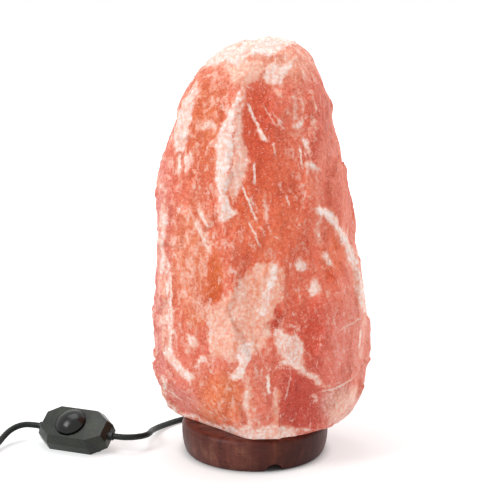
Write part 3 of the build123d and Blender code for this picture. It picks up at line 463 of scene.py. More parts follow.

# white salt, with a painted glow at the foot: outline in the picture, strength
whiteAreas = {
    "cap": ([(237, 48), (248, 38), (262, 34), (282, 35), (298, 44), (288, 47), (278, 50), (273, 57),
        (262, 57), (250, 53)], 1.0),
    "capLeft": ([(203, 66), (214, 52), (228, 42), (246, 36), (249, 62), (240, 68), (224, 62),
        (214, 68)], 0.76),
    "capPatch": ([(273, 57), (282, 65), (294, 59), (295, 67), (290, 72), (283, 76), (280, 86), (272, 86),
        (262, 78), (266, 68)], 0.74),
    "capMiddle": ([(226, 66), (262, 60), (262, 76), (248, 88), (232, 84)], 0.55),
    "leftStreak": ([(199, 83), (200, 90), (196, 103), (193, 120), (188, 139), (182, 153), (173, 153),
        (173, 139), (175, 120), (182, 100), (190, 90)], 0.8),
    "leftSmall": ([(184, 156), (193, 153), (192, 162), (188, 174), (184, 173), (183, 163)], 0.8),
    "leftSmallLow": ([(176, 159), (180, 160), (180, 180), (176, 181)], 0.7),
    "leftEdge": ([(158, 176), (165, 184), (165, 193), (159, 191)], 0.7),
    "leftMark": ([(203, 120), (214, 120), (217, 128), (203, 128)], 0.7),
    "streakWhite": ([(243, 88), (238, 108), (234, 125), (234, 150), (230, 172), (228, 195), (231, 206),
        (236, 214), (230, 218), (224, 222), (216, 223), (216, 219), (223, 214), (220, 204), (217, 188),
        (215, 170), (216, 152), (217, 131), (224, 120), (231, 106), (236, 93)], 0.95),
    "streakPink": ([(246, 86), (243, 108), (242, 125), (245, 146), (248, 153), (247, 170), (240, 191),
        (235, 198), (230, 196), (230, 172), (234, 150), (234, 125), (238, 108)], 0.68),
    "wedge": ([(267, 193), (270, 211), (265, 225), (265, 212)], 0.8),
    "clumpLeft": ([(296, 266), (300, 258), (304, 263), (307, 270), (303, 275), (296, 272)], 0.85),
    "clumpRight": ([(321, 250), (327, 251), (331, 260), (333, 267), (328, 266), (323, 257)], 0.75),
    "lampSpot": ([(307, 280), (316, 279), (321, 285), (318, 294), (312, 297), (307, 290)], 0.8),
    "lampSpotSmall": ([(325, 290), (331, 290), (333, 298), (327, 300)], 0.5),
    "spotBrow": ([(293, 124), (299, 122), (303, 128), (298, 132), (294, 130)], 0.8),
    "spotBrowLow": ([(301, 139), (306, 138), (308, 145), (303, 147)], 0.7),
    "spotEdge": ([(306, 164), (313, 162), (316, 168), (310, 170)], 0.6),
    "lowPatch": ([(267, 262), (275, 265), (279, 260), (280, 269), (285, 271), (282, 278), (287, 290),
        (286, 299), (279, 304), (275, 313), (269, 322), (272, 331), (269, 340), (263, 347), (254, 350),
        (251, 357), (245, 369), (244, 376), (239, 382), (232, 381), (230, 375), (235, 369), (238, 362),
        (228, 362), (219, 357), (209, 353), (209, 346), (210, 335), (209, 325), (207, 316), (212, 307),
        (226, 299), (236, 290), (238, 281), (250, 271), (258, 263)], 0.56),
    "lowPatchFoot": ([(240, 345), (252, 342), (250, 357), (245, 369), (244, 378), (233, 380), (231, 374),
        (237, 366)], 0.95),
    "besidePatch": ([(273, 328), (279, 326), (283, 326), (285, 334), (295, 335), (301, 340), (305, 348),
        (303, 357), (305, 365), (310, 372), (320, 379), (329, 384), (319, 384), (305, 378), (297, 373),
        (291, 366), (282, 365), (286, 359), (279, 356), (276, 346), (275, 337)], 0.74),
    "leftSpotHigh": ([(187, 339), (192, 336), (198, 340), (198, 347), (191, 349)], 0.85),
    "leftSpotLow": ([(199, 356), (204, 355), (208, 362), (204, 366), (199, 364)], 0.8),
    "leftFleck": ([(173, 329), (177, 329), (178, 335), (174, 336)], 0.7),
    "flankFleck": ([(159, 316), (163, 316), (163, 324), (159, 325)], 0.75),
    # painted glow: a pale band at the foot where the lamp's light shows through
    "foot": ([(196, 417), (222, 425), (240, 428), (262, 427), (282, 424), (296, 428), (300, 438), (262, 446),
        (236, 444), (205, 434)], 0.72),
    "lowRightSpot": ([(310, 396), (315, 394), (318, 398), (314, 401)], 0.95),
}

# thin white lines and ridges, and strips of painted light: points in the picture, width, strength
whiteLines = {
    "scratchHighEnd": ([(260, 132), (264, 140)], 5.0, 0.85),
    "browMark": ([(290, 97), (301, 92)], 3.2, 0.6),
    "browDot": ([(288, 111), (290, 115)], 3.0, 0.9),
    "capMark": ([(276, 90), (281, 95)], 3.0, 0.6),
    "ridge": ([(320, 211), (325, 210), (331, 218), (337, 225), (342, 232), (349, 250), (354, 262)], 8.0, 1.0),
    "ridgeLeft": ([(322, 212), (317, 224), (318, 232), (320, 240)], 3.0, 0.7),
    "ridgeLow": ([(354, 262), (358, 270), (361, 284), (365, 313)], 6.0, 0.8),
    "ridgeFoot": ([(365, 313), (363, 335), (361, 356)], 2.4, 0.5),
    "patchStrip": ([(275, 268), (268, 288), (262, 313)], 6.5, 0.95),
    "patchEdge": ([(209, 318), (211, 335), (210, 350)], 3.0, 0.8),
    "middleStreak": ([(198, 222), (203, 231), (207, 241), (210, 250)], 4.0, 0.75),
    "middleStreakHigh": ([(199, 208), (210, 224)], 3.0, 0.6),
    "flankStreak": ([(163, 214), (162, 250), (163, 270)], 6.0, 0.85),
    "lowerLeftEdge": ([(169, 350), (173, 361), (181, 370), (191, 377)], 9.0, 0.95),
    "leftCrease": ([(168, 262), (169, 284), (170, 328), (168, 352)], 4.4, 0.95),
    "leftCreaseLow": ([(164, 376), (165, 398), (176, 409)], 4.0, 0.9),
    "paleBand": ([(247, 387), (248, 408), (251, 431)], 7.5, 0.66),
    "paleBandRight": ([(277, 392), (275, 412), (275, 431)], 6.0, 0.5),
    "footLine": ([(182, 414), (200, 419), (224, 428), (241, 434), (262, 437), (284, 435),
        (308, 429)], 4.0, 0.85),
    "browPatch": ([(295, 127), (301, 122)], 6.0, 0.95),
    "browPatchLow": ([(303, 140), (307, 147)], 6.0, 0.9),
    "browPatchEdge": ([(309, 163), (316, 170)], 6.0, 0.85),
    # painted light: pale strips along the right ridge, the left flank and the lower right
    "ridgeGlow": ([(330, 216), (341, 232), (352, 256), (359, 290)], 9.0, 0.62),
    "leftGlow": ([(164, 200), (162, 240), (164, 300), (163, 345)], 5.0, 0.5),
    "lowRightGlow": ([(338, 414), (350, 400), (356, 388)], 6.0, 0.62),
    "rightEdge": ([(313, 92), (315, 110), (313, 130)], 2.0, 0.4),
}

# fine scratches on the front: both ends in the picture, width, strength
scratches = (
    ((246, 100), (262, 134), 2.8, 0.85),
    ((259, 128), (268, 142), 2.6, 0.9),
    ((262, 103), (277, 127), 1.4, 0.45),
    ((272, 110), (285, 131), 1.4, 0.5),
    ((254, 158), (254, 183), 2.4, 0.95),
    ((240, 178), (258, 220), 2.2, 0.9),
    ((248, 215), (261, 243), 1.8, 0.75),
    ((273, 140), (275, 154), 2.0, 0.6),
    ((300, 144), (302, 167), 2.0, 0.9),
    ((286, 190), (288, 203), 1.8, 0.7),
    ((197, 205), (210, 227), 3.0, 0.8),
    ((196, 222), (212, 251), 3.0, 0.7),
    ((179, 154), (178, 179), 2.8, 0.9),
    ((267, 363), (269, 388), 3.0, 0.95),
    ((170, 269), (172, 329), 2.2, 0.9),
    ((172, 326), (168, 361), 2.2, 0.85),
    ((336, 328), (365, 322), 1.4, 0.6),
    ((317, 385), (358, 379), 1.6, 0.7),
    ((363, 334), (361, 357), 2.2, 0.85),
    ((284, 394), (291, 364), 1.5, 0.5),
    ((163, 379), (165, 401), 2.0, 0.8),
    ((164, 397), (181, 412), 2.0, 0.8),
)

# the salt's material
salt = {
    # scale, detail, roughness, twist
    "noise": {
        "marble": (46.0, 7.0, 0.62, 0.8),
        "fleck": (190.0, 8.0, 0.70, 0.5),
        "fine": (420.0, 5.0, 0.65, 0.3),
        "patchy": (260.0, 6.0, 0.7),
        "veins": (130.0, 6.0, 0.68, 1.2),
        "grain": (820.0, 3.0, 0.6),
    },
    # place, and a colour or a factor for red, green and blue
    "ramp": {
        "marble": ((0.30, (0.80, 0.60, 0.50)), (0.48, (0.98, 0.93, 0.89)), (0.70, (1.10, 1.4, 1.5))),
        "speck": ((0.36, (0.84, 0.62, 0.52)), (0.5, (1.0, 0.97, 0.95)), (0.66, (1.1, 1.35, 1.45))),
        "dust": ((0.42, "#F0A48A"), (0.56, "#F5BDAA"), (0.70, "#FBE3DC")),
        "patchy": ((0.36, (0.55, 0.55, 0.55)), (0.52, (1.0, 1.0, 1.0))),
        "peach": ((0.32, "#F2AE94"), (0.5, "#F7C6B1"), (0.68, "#FBDFD3")),
        "white": ((0.3, "#F5CDBD"), (0.46, "#FAE6E0"), (0.7, "#FDF3F1")),
        "crystals": ((0.10, (1.08, 1.16, 1.20)), (0.42, (1.0, 0.98, 0.96)), (0.72, (0.93, 0.74, 0.64))),
    },
    # where one look gives way to the next: from, to, and the shares at both
    "share": {
        "dust": (-0.04, 0.12, 0.0, 0.72),
        "cover": (0.40, 0.66),
        "halo": (0.20, 0.60, 0.0, 0.65),
        "orangeVein": (0.50, 0.64, 0.0, 0.75),
        "paleVein": (0.45, 0.34, 0.0, 0.75),
        "pinkVein": (0.54, 0.68, 0.0, 0.70),
        "whiter": (0.5, 0.85),
        "scratch": (0.30, 0.50, 0.45, 1.0),
        # painted glints: where pale specks of grain show
        "paintedGlint": (0.60, 0.70, 0.0, 0.50),
        "darkGrain": (0.42, 0.31, 0.0, 0.38),
        "rough": (0.3, 0.7, 0.30, 0.62),
    },
    "marbleTall": 0.42,
    "fleckTall": 0.55,
    "marbleWeight": 0.85,
    "speckWeight": 0.75,
    "crystalWeight": 0.8,
    "crystalScale": 340.0,
    "frostEdge": (-0.30, 0.665),
    "frostFine": (0.16, -0.08),
    "raggedFleck": (0.75, -0.375),
    "raggedFine": (0.30, -0.15),
    "coverPower": (0.55, 0.45),
    "fineRelief": 1.2,
    "gritRelief": 0.5,
    "fineBump": (0.6, 0.0012),
    "coarseBump": (0.5, 0.003),
    "scratchPlane": -0.045,
    "scratchWander": 0.0018,
    "wanderScale": 240.0,
    "wanderDetail": 3.0,
    "scratchAcross": (0.20, 0.80),
    "scratchEnds": (0.55, 1.0, 1.0, 0.0),
    "glow": 0.32,
    "inside": 0.12,
    "insideReach": (1.0, 0.35, 0.2),
    "insideScale": 0.006,
    "specular": 0.42,
}


def pictureAxes():
    # the camera's place and axes, its pixels per unit of slope, and half the picture
    place = np.array(view["place"])
    sight = np.array(view["aim"]) - place
    sight /= np.linalg.norm(sight)
    side = np.array((1.0, 0.0, 0.0))
    zoom = view["pictureSize"] * view["lens"] / view["sensor"]
    return place, sight, side, np.cross(side, sight), zoom, view["pictureSize"] / 2.0


def inPicture(points):
    # where points of the model fall in the picture, in its pixels from the top left
    place, sight, side, upward, zoom, half = pictureAxes()
    away = points - place
    depth = away @ sight
    across, down = half + zoom * (away @ side) / depth, half - zoom * (away @ upward) / depth
    return np.stack((across, down), axis=1)


def fromPicture(spot):
    # the point that a spot of the picture shows on the scratches' upright plane
    place, sight, side, upward, zoom, half = pictureAxes()
    ray = sight + side * ((spot[0] - half) / zoom) + upward * ((half - spot[1]) / zoom)
    return place + ray * ((salt["scratchPlane"] - place[1]) / ray[1])


tiny = 1e-9  # keeps divisions from zero


def distanceToLine(spots, line):
    best = np.full(len(spots), np.inf)
    for start, end in zip(line, line[1:]):
        start, run = np.array(start, float), np.array(end, float) - np.array(start, float)
        share = np.clip((spots - start) @ run / max(run @ run, tiny), 0.0, 1.0)
        best = np.minimum(best, np.linalg.norm(spots - start - share[:, None] * run, axis=1))
    return best


def insideOutline(spots, outline):
    inside = np.zeros(len(spots), bool)
    for (x1, y1), (x2, y2) in zip(outline, outline[1:] + outline[:1]):
        crosses = (y1 > spots[:, 1]) != (y2 > spots[:, 1])
        at = x1 + (spots[:, 1] - y1) * (x2 - x1) / ((y2 - y1) or tiny)
        inside ^= crosses & (spots[:, 0] < at)
    return inside


def smoothStep(low, high, values):
    share = np.clip((values - low) / (high - low), 0.0, 1.0)
    return share * share * (3.0 - 2.0 * share)


def whiteSaltAndGlow(spots):
    # how far inside white salt or painted light each spot lies, and how white it is there
    best = np.full(len(spots), -1.0)
    strength = np.zeros(len(spots))
    shapes = [(outline, None, power) for outline, power in whiteAreas.values()]
    shapes += list(whiteLines.values())
    for outline, width, power in shapes:
        if width is None:
            gap = distanceToLine(spots, outline + outline[:1])
            field = np.where(insideOutline(spots, outline), gap, -gap)
        else:
            field = width / 2.0 - distanceToLine(spots, outline)
        field = np.clip(field / painting["whiteReach"], -1.0, 1.0)
        strength = np.maximum(strength, power * smoothStep(*painting["whiteEdge"], field))
        best = np.maximum(best, field)
    return best, strength


def blended(spots, zones, read):
    # values of soft zones, mixed by how near each one is
    total, weights = 0.0, np.zeros(len(spots))
    for middle, size, value, weight in zones.values():
        away = (spots - np.array(middle)) / np.array(size)
        share = weight * np.exp(-painting["zoneFall"] * np.sum(away * away, axis=1))
        total = total + share[:, None] * np.atleast_1d(read(value))
        weights += share
    return total / weights[:, None]


def vertexVectors(mesh, kind):
    vectors = np.empty(len(mesh.vertices) * 3)
    mesh.vertices.foreach_get(kind, vectors)
    return vectors.reshape(-1, 3)


def moveVertices(mesh, points):
    mesh.vertices.foreach_set("co", points.ravel())
    mesh.update()


noiseShift = (3.7, 1.3, 2.9)


def noiseAt(points, size, seed):
    shift = Vector([seed * part for part in noiseShift])
    return np.array([noise.noise(Vector(p) / size + shift) for p in points])


def freeSkin(points):
    # 1 where the skin may be hewn, 0 at the foot and in the bore
    outward = np.hypot(points[:, 0], points[:, 1])
    inBore = ((outward < crystal["boreRadius"] + crystal["boreMargin"])
              & (points[:, 2] < crystal["boreTop"] + crystal["boreTopMargin"]))
    low, high = (crystal["foot"] + margin for margin in crystal["footMargin"])
    return smoothStep(low, high, points[:, 2]) * ~inBore


def hewSurface(mesh):
    # flattens the skin into tall hewn facets, large and small, then roughens it
    points, normals = vertexVectors(mesh, "co"), vertexVectors(mesh, "normal")
    free = freeSkin(points)
    skin = np.nonzero(free > crystal["wholeSkin"])[0]
    moved = np.zeros(len(points))
    stretch = np.array((1.0, 1.0, crystal["facetStretch"]))
    for number, (count, tilt, most) in enumerate(crystal["facets"]):
        dice = np.random.default_rng(crystal["seed"] + number)
        chosen = dice.choice(skin, count, replace=False)
        middles = points[chosen]
        facings = normals[chosen] + dice.uniform(-tilt, tilt, (count, 3))
        facings /= np.linalg.norm(facings, axis=1)[:, None]
        tree = KDTree(count)
        for i, middle in enumerate(middles * stretch):
            tree.insert(Vector(middle), i)
        tree.balance()
        flat = np.empty(len(points))
        for i, place in enumerate(points * stretch):
            levels = []
            for _, near, _ in tree.find_n(Vector(place), crystal["facetsNear"]):
                across = float(facings[near] @ normals[i])
                if across > crystal["facetFacing"]:
                    levels.append(float(facings[near] @ (middles[near] - points[i])) / across)
            flat[i] = min(levels, default=0.0)
        moved += np.clip(flat, -most, most * crystal["facetOutward"])
    for number, (size, height) in enumerate(crystal["grains"]):
        moved += height * noiseAt(points, size, number + 1)
    moveVertices(mesh, points + normals * (moved * free)[:, None])
    return free


def wildSalt(points):
    # tint, white, its power and frost for the sides that the picture doesn't show
    tall = points * np.array((1.0, 1.0, painting["tall"]))
    pink, orange = (np.array(fromHex(text)[:3]) for text in painting["wildTints"])
    drift = noiseAt(tall, *painting["wildDrift"])
    blend = smoothStep(*painting["driftEdge"], drift)[:, None]
    fleck = painting["wildFleckShare"] * noiseAt(points, *painting["wildFleck"])
    white = noiseAt(tall, *painting["wildWhite"]) + fleck - painting["wildWhiteFrom"]
    frost = painting["wildFrostLevel"] + painting["wildFrostSwing"] * noiseAt(tall, *painting["wildFrost"])
    return (pink * (1.0 - blend) + orange * blend, np.clip(white * painting["wildWhiteGain"], -1.0, 1.0),
            painting["wildPower"], frost)


def drawnSalt(points):
    # the same for the front, as drawn in the picture, with its edges wandering
    spots = inPicture(points)
    for size, reach, seed in painting["wander"]:
        wander = (noiseAt(points, size, seed), noiseAt(points, size, seed + 1))
        spots = spots + reach * np.stack(wander, axis=1)
    white, strength = whiteSaltAndGlow(spots)
    tint = blended(spots, saltTints, lambda text: np.array(fromHex(text)[:3]))
    return tint, white, strength, blended(spots, saltFrost, float)[:, 0]


def paintSalt(mesh, free):
    # drawn where the front faces the picture, and veined by noise on the other sides
    points, normals = vertexVectors(mesh, "co"), vertexVectors(mesh, "normal")
    toCamera = np.array(view["place"]) - points
    toCamera /= np.linalg.norm(toCamera, axis=1)[:, None]
    front = smoothStep(*painting["frontTurn"], np.sum(normals * toCamera, axis=1))
    front = front * (points[:, 1] < painting["frontDepth"])
    shares = (front[:, None], front, front, front)
    tint, bloom, power, frost = (drawn * share + wild * (1.0 - share) for drawn, wild, share
                                 in zip(drawnSalt(points), wildSalt(points), shares))
    colours = np.concatenate((tint, np.ones((len(points), 1))), axis=1)
    layer = mesh.attributes.new("tint", "FLOAT_COLOR", "POINT")
    layer.data.foreach_set("color", colours.ravel())
    for name, values in (("bloom", bloom * 0.5 + 0.5), ("power", power), ("frost", frost)):
        layer = mesh.attributes.new(name, "FLOAT", "POINT")
        layer.data.foreach_set("value", values.astype(float))
    # the white salt stands a little proud, and the painted glows with it
    lift = crystal["crust"] * smoothStep(*painting["crustEdge"], bloom) * power * free
    moveVertices(mesh, points + normals * lift[:, None])


def scratchCover(shader):
    # each scratch lies along X of its own mapped space, one long and one wide
    bend = salt["scratchWander"]
    waves = shader.add("ShaderNodeTexNoise", {"Vector": shader.place, "Scale": salt["wanderScale"],
                                              "Detail": salt["wanderDetail"]})
    drift = shader.vectorMaths("MULTIPLY_ADD", waves.outputs["Color"], (2.0 * bend,) * 3, (-bend,) * 3)
    wavy = shader.vectorMaths("ADD", shader.place, drift)
    total = 0.0
    for start, end, width, strength in scratches:
        first, last = fromPicture(start), fromPicture(end)
        run = last - first
        length = np.linalg.norm(run)
        local = shader.first("ShaderNodeMapping", {
            "Vector": wavy,
            "Location": (first[0], 0.0, first[2]),
            "Rotation": (0.0, -math.atan2(run[2], run[0]), 0.0),
            "Scale": (length, 1.0, width * length / math.dist(start, end)),
        }, vector_type="TEXTURE")
        parts = shader.parts(local)
        across = shader.remap(shader.maths("ABSOLUTE", parts["Z"]), *salt["scratchAcross"], strength, 0.0)
        along = shader.maths("ABSOLUTE", shader.scaled(parts["X"], 2.0, -1.0))
        mark = shader.maths("MULTIPLY", across, shader.remap(along, *salt["scratchEnds"]))
        total = shader.maths("MAXIMUM", total, mark)
    inFront = shader.maths("LESS_THAN", shader.parts(shader.place)["Y"], 0.0)
    return shader.maths("MULTIPLY", total, inFront)


def rockSalt():
    # marbled salt under pale flecks and white crusts, with painted glows and painted glints, lit from inside
    shader = Shader("rockSalt")

    def noisy(name, vector=None):
        return shader.noise(*salt["noise"][name], vector=vector)

    def ramped(factor, name):
        return shader.ramp(factor, salt["ramp"][name])

    def shareOf(value, name):
        return shader.remap(value, *salt["share"][name])

    tall = shader.mapped(1.0, 1.0, salt["marbleTall"])
    marble = noisy("marble", tall)
    fleck = noisy("fleck", shader.mapped(1.0, 1.0, salt["fleckTall"]))
    fine = noisy("fine")
    tint = shader.attribute("tint", "Color")
    tint = shader.mix(salt["marbleWeight"], tint, ramped(marble, "marble"), "MULTIPLY")
    tint = shader.mix(salt["speckWeight"], tint, ramped(fine, "speck"), "MULTIPLY")
    # pale flecks
    edge = shader.scaled(shader.attribute("frost"), *salt["frostEdge"])
    lying = shader.maths("ADD", fleck, shader.scaled(fine, *salt["frostFine"]))
    lying = shader.maths("SUBTRACT", lying, edge)
    tint = shader.mix(shareOf(lying, "dust"), tint, ramped(fleck, "dust"))
    # ragged edges of the white salt and of the painted glows
    field = shader.maths("ADD", shader.attribute("bloom"), shader.scaled(fleck, *salt["raggedFleck"]))
    field = shader.maths("ADD", field, shader.scaled(fine, *salt["raggedFine"]))
    power = shader.attribute("power")
    opacity = shader.scaled(power, *salt["coverPower"])
    cover = shader.maths("MULTIPLY", shareOf(field, "cover"), opacity)
    halo = shader.maths("MULTIPLY", shareOf(field, "halo"), power)
    tint = shader.mix(halo, tint, "#F5B09C")
    cover = shader.maths("MULTIPLY", cover, ramped(noisy("patchy", tall), "patchy"))
    veins = noisy("veins", tall)
    peach = shader.mix(shareOf(veins, "orangeVein"), ramped(fine, "peach"), "#EB8A5C")
    peach = shader.mix(shareOf(veins, "paleVein"), peach, "#FCE6DA")
    whitest = shader.mix(shareOf(veins, "pinkVein"), ramped(fine, "white"), "#F2AE98")
    whiteTint = shader.mix(shareOf(power, "whiter"), peach, whitest)
    colour = shader.mix(cover, tint, whiteTint)
    scratched = shader.maths("MULTIPLY", scratchCover(shader), shareOf(fine, "scratch"))
    colour = shader.mix(scratched, colour, "#FDE9DF")
    # crystals: paler in the middle, deeper along their joints
    grit = shader.first("ShaderNodeTexVoronoi", {"Vector": shader.place, "Scale": salt["crystalScale"]})
    colour = shader.mix(salt["crystalWeight"], colour, ramped(grit, "crystals"), "MULTIPLY")
    # painted glints on pale grains, and dark grains
    grain = noisy("grain")
    colour = shader.mix(shareOf(grain, "paintedGlint"), colour, "#FDEBE2")
    colour = shader.mix(shareOf(grain, "darkGrain"), colour, "#BE4526")
    relief = shader.maths("ADD", shader.scaled(fine, salt["fineRelief"]),
                          shader.scaled(grit, salt["gritRelief"]))
    normal = shader.bump(relief, *salt["fineBump"])
    normal = shader.bump(shader.maths("ADD", fleck, marble), *salt["coarseBump"], after=normal)
    fixed = {name: salt[name] for name in ("glow", "inside", "insideReach", "insideScale", "specular")}
    rough = shareOf(fine, "rough")
    return shader.finish(colour=colour, rough=rough, normal=normal, glowColour=colour, **fixed)


def smoothOnce(shape):
    bmesh.ops.smooth_vert(shape, verts=shape.verts, factor=crystal["smoothShare"],
                          use_axis_x=True, use_axis_y=True, use_axis_z=True)


def makeCrystal():
    source = copyOfNode("salt_crystal", "crystalSource")
    remesh = source.modifiers.new("evenMesh", "REMESH")
    remesh.mode = "VOXEL"
    remesh.voxel_size = crystal["voxel"]
    mesh = bakedMesh(source, "saltBlock")
    bpy.data.objects.remove(source)
    for _ in range(crystal["smoothPasses"]):
        reshape(mesh, smoothOnce)
    paintSalt(mesh, hewSurface(mesh))
    piece = linkObject("saltBlock", mesh)
    smoothShade(piece)
    addPiece(piece, "lamp_body", "salt", rockSalt(), "salt_crystal")
    print("crystal:", len(mesh.vertices), "vertices")


makeCrystal()


# wooden base: noises as in the salt, how far each is stretched, and the ramps

wood = {
    "radius": 0.060,
    "grain": (520.0, 6.0, 0.65, 0.6),
    "grainStretch": (0.16, 1.0, 1.6),
    "figure": (52.0, 5.0, 0.6, 0.8),
    "figureStretch": (0.55, 1.0, 0.35),
    "bands": (170.0, 3.0, 0.6),
    "bandStretch": (1.0, 1.0, 0.05),
    "blotch": (120.0, 4.0, 0.6),
    "blotchShare": (0.45, 0.75, 0.0, 0.30),
    "blotchTint": "#6e4436",
    "stain": ((0.30, "#3a1712"), (0.50, "#5c2c24"), (0.72, "#84503e")),
    "pores": ((0.36, (0.60, 0.56, 0.54)), (0.52, (1.0, 1.0, 1.0)), (0.75, (1.2, 1.16, 1.12))),
    "poreWeight": 0.75,
    # painted light and shade across X: lighter and greyer on the left, darker on the right
    "sides": ((0.0, (1.15, 1.25, 1.3)), (0.38, (1.6, 1.85, 1.95)), (0.62, (0.78, 0.58, 0.56)),
              (1.0, (0.46, 0.28, 0.27))),
    "bandDepth": ((0.36, (0.80, 0.76, 0.76)), (0.52, (1.0, 1.0, 1.0)), (0.68, (1.22, 1.25, 1.25))),
    "rough": (0.3, 0.7, 0.34, 0.50),
    "relief": (0.3, 0.0004),
    "specular": 0.22,
}


def stainedWood():
    # red-brown stain that took unevenly in blotches, over fine grain running across the disc, with painted
    # light on the left and painted shade on the right
    shader = Shader("stainedWood")
    grain = shader.noise(*wood["grain"], vector=shader.mapped(*wood["grainStretch"]))
    figure = shader.noise(*wood["figure"], vector=shader.mapped(*wood["figureStretch"]))
    bands = shader.noise(*wood["bands"], vector=shader.mapped(*wood["bandStretch"]))
    colour = shader.mix(wood["poreWeight"], shader.ramp(figure, wood["stain"]),
                        shader.ramp(grain, wood["pores"]), "MULTIPLY")
    blotch = shader.remap(shader.noise(*wood["blotch"]), *wood["blotchShare"])
    colour = shader.mix(blotch, colour, wood["blotchTint"])
    # painted light and shade: lighter, with a grey painted sheen, on the left and darker on the right
    across = shader.remap(shader.parts(shader.place)["X"], -wood["radius"], wood["radius"], kind="LINEAR")
    colour = shader.mix(1.0, colour, shader.ramp(across, wood["sides"]), "MULTIPLY")
    colour = shader.mix(1.0, colour, shader.ramp(bands, wood["bandDepth"]), "MULTIPLY")
    return shader.finish(colour=colour, rough=shader.remap(grain, *wood["rough"]),
                         normal=shader.bump(grain, *wood["relief"]), specular=wood["specular"])


woodFinish = stainedWood()
print("base finished")


# finishes of the record's slots, for the nodes that stay as they are

def clearGlass(name):
    shader = Shader(name)
    smear = shader.remap(shader.noise(60.0, 3.0), 0.3, 0.7, 0.01, 0.05)
    return shader.finish(colour=(0.97, 0.98, 0.98, 1.0), rough=smear, through=1.0, ior=1.5)


def glowingWire(name):
    shader = Shader(name)
    heat = shader.ramp(shader.noise(300.0), [(0.3, "#FFB45A"), (0.7, "#FFD9A0")])
    return shader.finish(colour=(0.6, 0.5, 0.4, 1.0), metal=1.0, rough=0.4, glowColour=heat, glow=6.0)


def makeSlotFinishes():
    return {
        "stained_wood": woodFinish,
        "zinc_steel": rolledMetal("zincSteel", "#8f9295", "#b4b6b8", 0.32),
        "nylon": mouldedPlastic("nylonSleeve", "#cfcdc4", "#dedcd4", 0.5),
        "black_plastic": mouldedPlastic("blackMoulding", "#16191a", "#202425", 0.45),
        "brass": rolledMetal("rolledBrass", "#b98f45", "#d3ab62", 0.28),
        "nickel": rolledMetal("nickelPlate", "#b9b7b2", "#d6d4cf", 0.16),
        "white_ceramic": mouldedPlastic("unglazedCeramic", "#dedbd2", "#e9e6de", 0.62, 1400.0, 0.4),
        "black_cord": sheath,
        "wire_sheath": mouldedPlastic("wireSheath", "#5a2a18", "#6b3722"),
        "dark_case": mouldedPlastic("darkCase", "#1b211c", "#323629", 0.28, 3200.0, 0.2, specular=0.36),
        "gloss_knob": mouldedPlastic("glossKnob", "#080c0a", "#12170f", 0.22, 900.0, 0.05, specular=0.36),
        "board": mouldedPlastic("circuitBoard", "#2f6b43", "#3b7a4f", 0.35, 1500.0, 0.2),
        "yellow_film": mouldedPlastic("filmCase", "#d0a02c", "#dcb045", 0.3),
        "beige_resistor": mouldedPlastic("resistorBody", "#bda57e", "#cbb58f", 0.45),
        "bulb_glass": clearGlass("bulbGlass"),
        "black_glass": mouldedPlastic("blackGlass", "#111214", "#1a1b1e", 0.12, 400.0, 0.05),
        "solder": rolledMetal("tinSolder", "#a8a9ab", "#c4c5c6", 0.35),
        "glow": glowingWire("glowingWire"),
    }


slotFinishes = makeSlotFinishes()
for subpart in frame["record"]["subparts"]:
    if subpart["material_slot"] in slotFinishes:
        giveFinish(cadNodes[subpart["node"]], slotFinishes[subpart["material_slot"]])
print("slot finishes set")


# screws that hold the base to the crystal: one screw, set on a ring

baseScrews = {
    "Count": 4,
    "Circle": 0.044,
    "First Angle": math.radians(80.0),
    "Head Level": 0.0056,
    "Head Radius": 0.0038,
    "Head Height": 0.0024,
    "Shank Radius": 0.0019,
    "Shank Length": 0.034,
    "Slot Width": 0.0008,
    "Slot Depth": 0.001,
}

screwMesh = {
    "headSides": 40,
    "shankSides": 32,
    "slotOverhang": 0.001,
    "sharpFrom": math.radians(35.0),
}


class NodeShape(Nodes):
    # a geometry tree whose named inputs are its sizes
    def __init__(self, name, sizes):
        super().__init__(bpy.data.node_groups.new(name, "GeometryNodeTree"))
        sockets = self.tree.interface
        sockets.new_socket("Geometry", in_out="OUTPUT", socket_type="NodeSocketGeometry")
        kinds = {int: "NodeSocketInt", float: "NodeSocketFloat"}
        self.identifiers = {}
        for title, value in sizes.items():
            kind = kinds.get(type(value), "NodeSocketMaterial")
            self.identifiers[title] = sockets.new_socket(title, in_out="INPUT", socket_type=kind).identifier
        self.sizes = self.add("NodeGroupInput").outputs

    def raised(self, shape, height):
        lift = self.first("ShaderNodeCombineXYZ", {"Z": height})
        return self.first("GeometryNodeTransform", {"Geometry": shape, "Translation": lift})

    def cylinder(self, sides, radius, height):
        return self.first("GeometryNodeMeshCylinder", {"Vertices": sides, "Radius": radius, "Depth": height})

    def finish(self, shape):
        whole = self.first("GeometryNodeRealizeInstances", {"Geometry": shape})
        coated = {"Geometry": whole, "Material": self.sizes["Finish"]}
        self.add("NodeGroupOutput", {0: self.first("GeometryNodeSetMaterial", coated)})

    def madeWith(self, pieceName, sizes):
        source = linkObject(pieceName + "Source", bpy.data.meshes.new(pieceName + "Source"))
        modifier = source.modifiers.new("shape", "NODES")
        modifier.node_group = self.tree
        for title, value in sizes.items():
            modifier[self.identifiers[title]] = value
        mesh = bakedMesh(source, pieceName)
        bpy.data.objects.remove(source)
        return linkObject(pieceName, mesh)


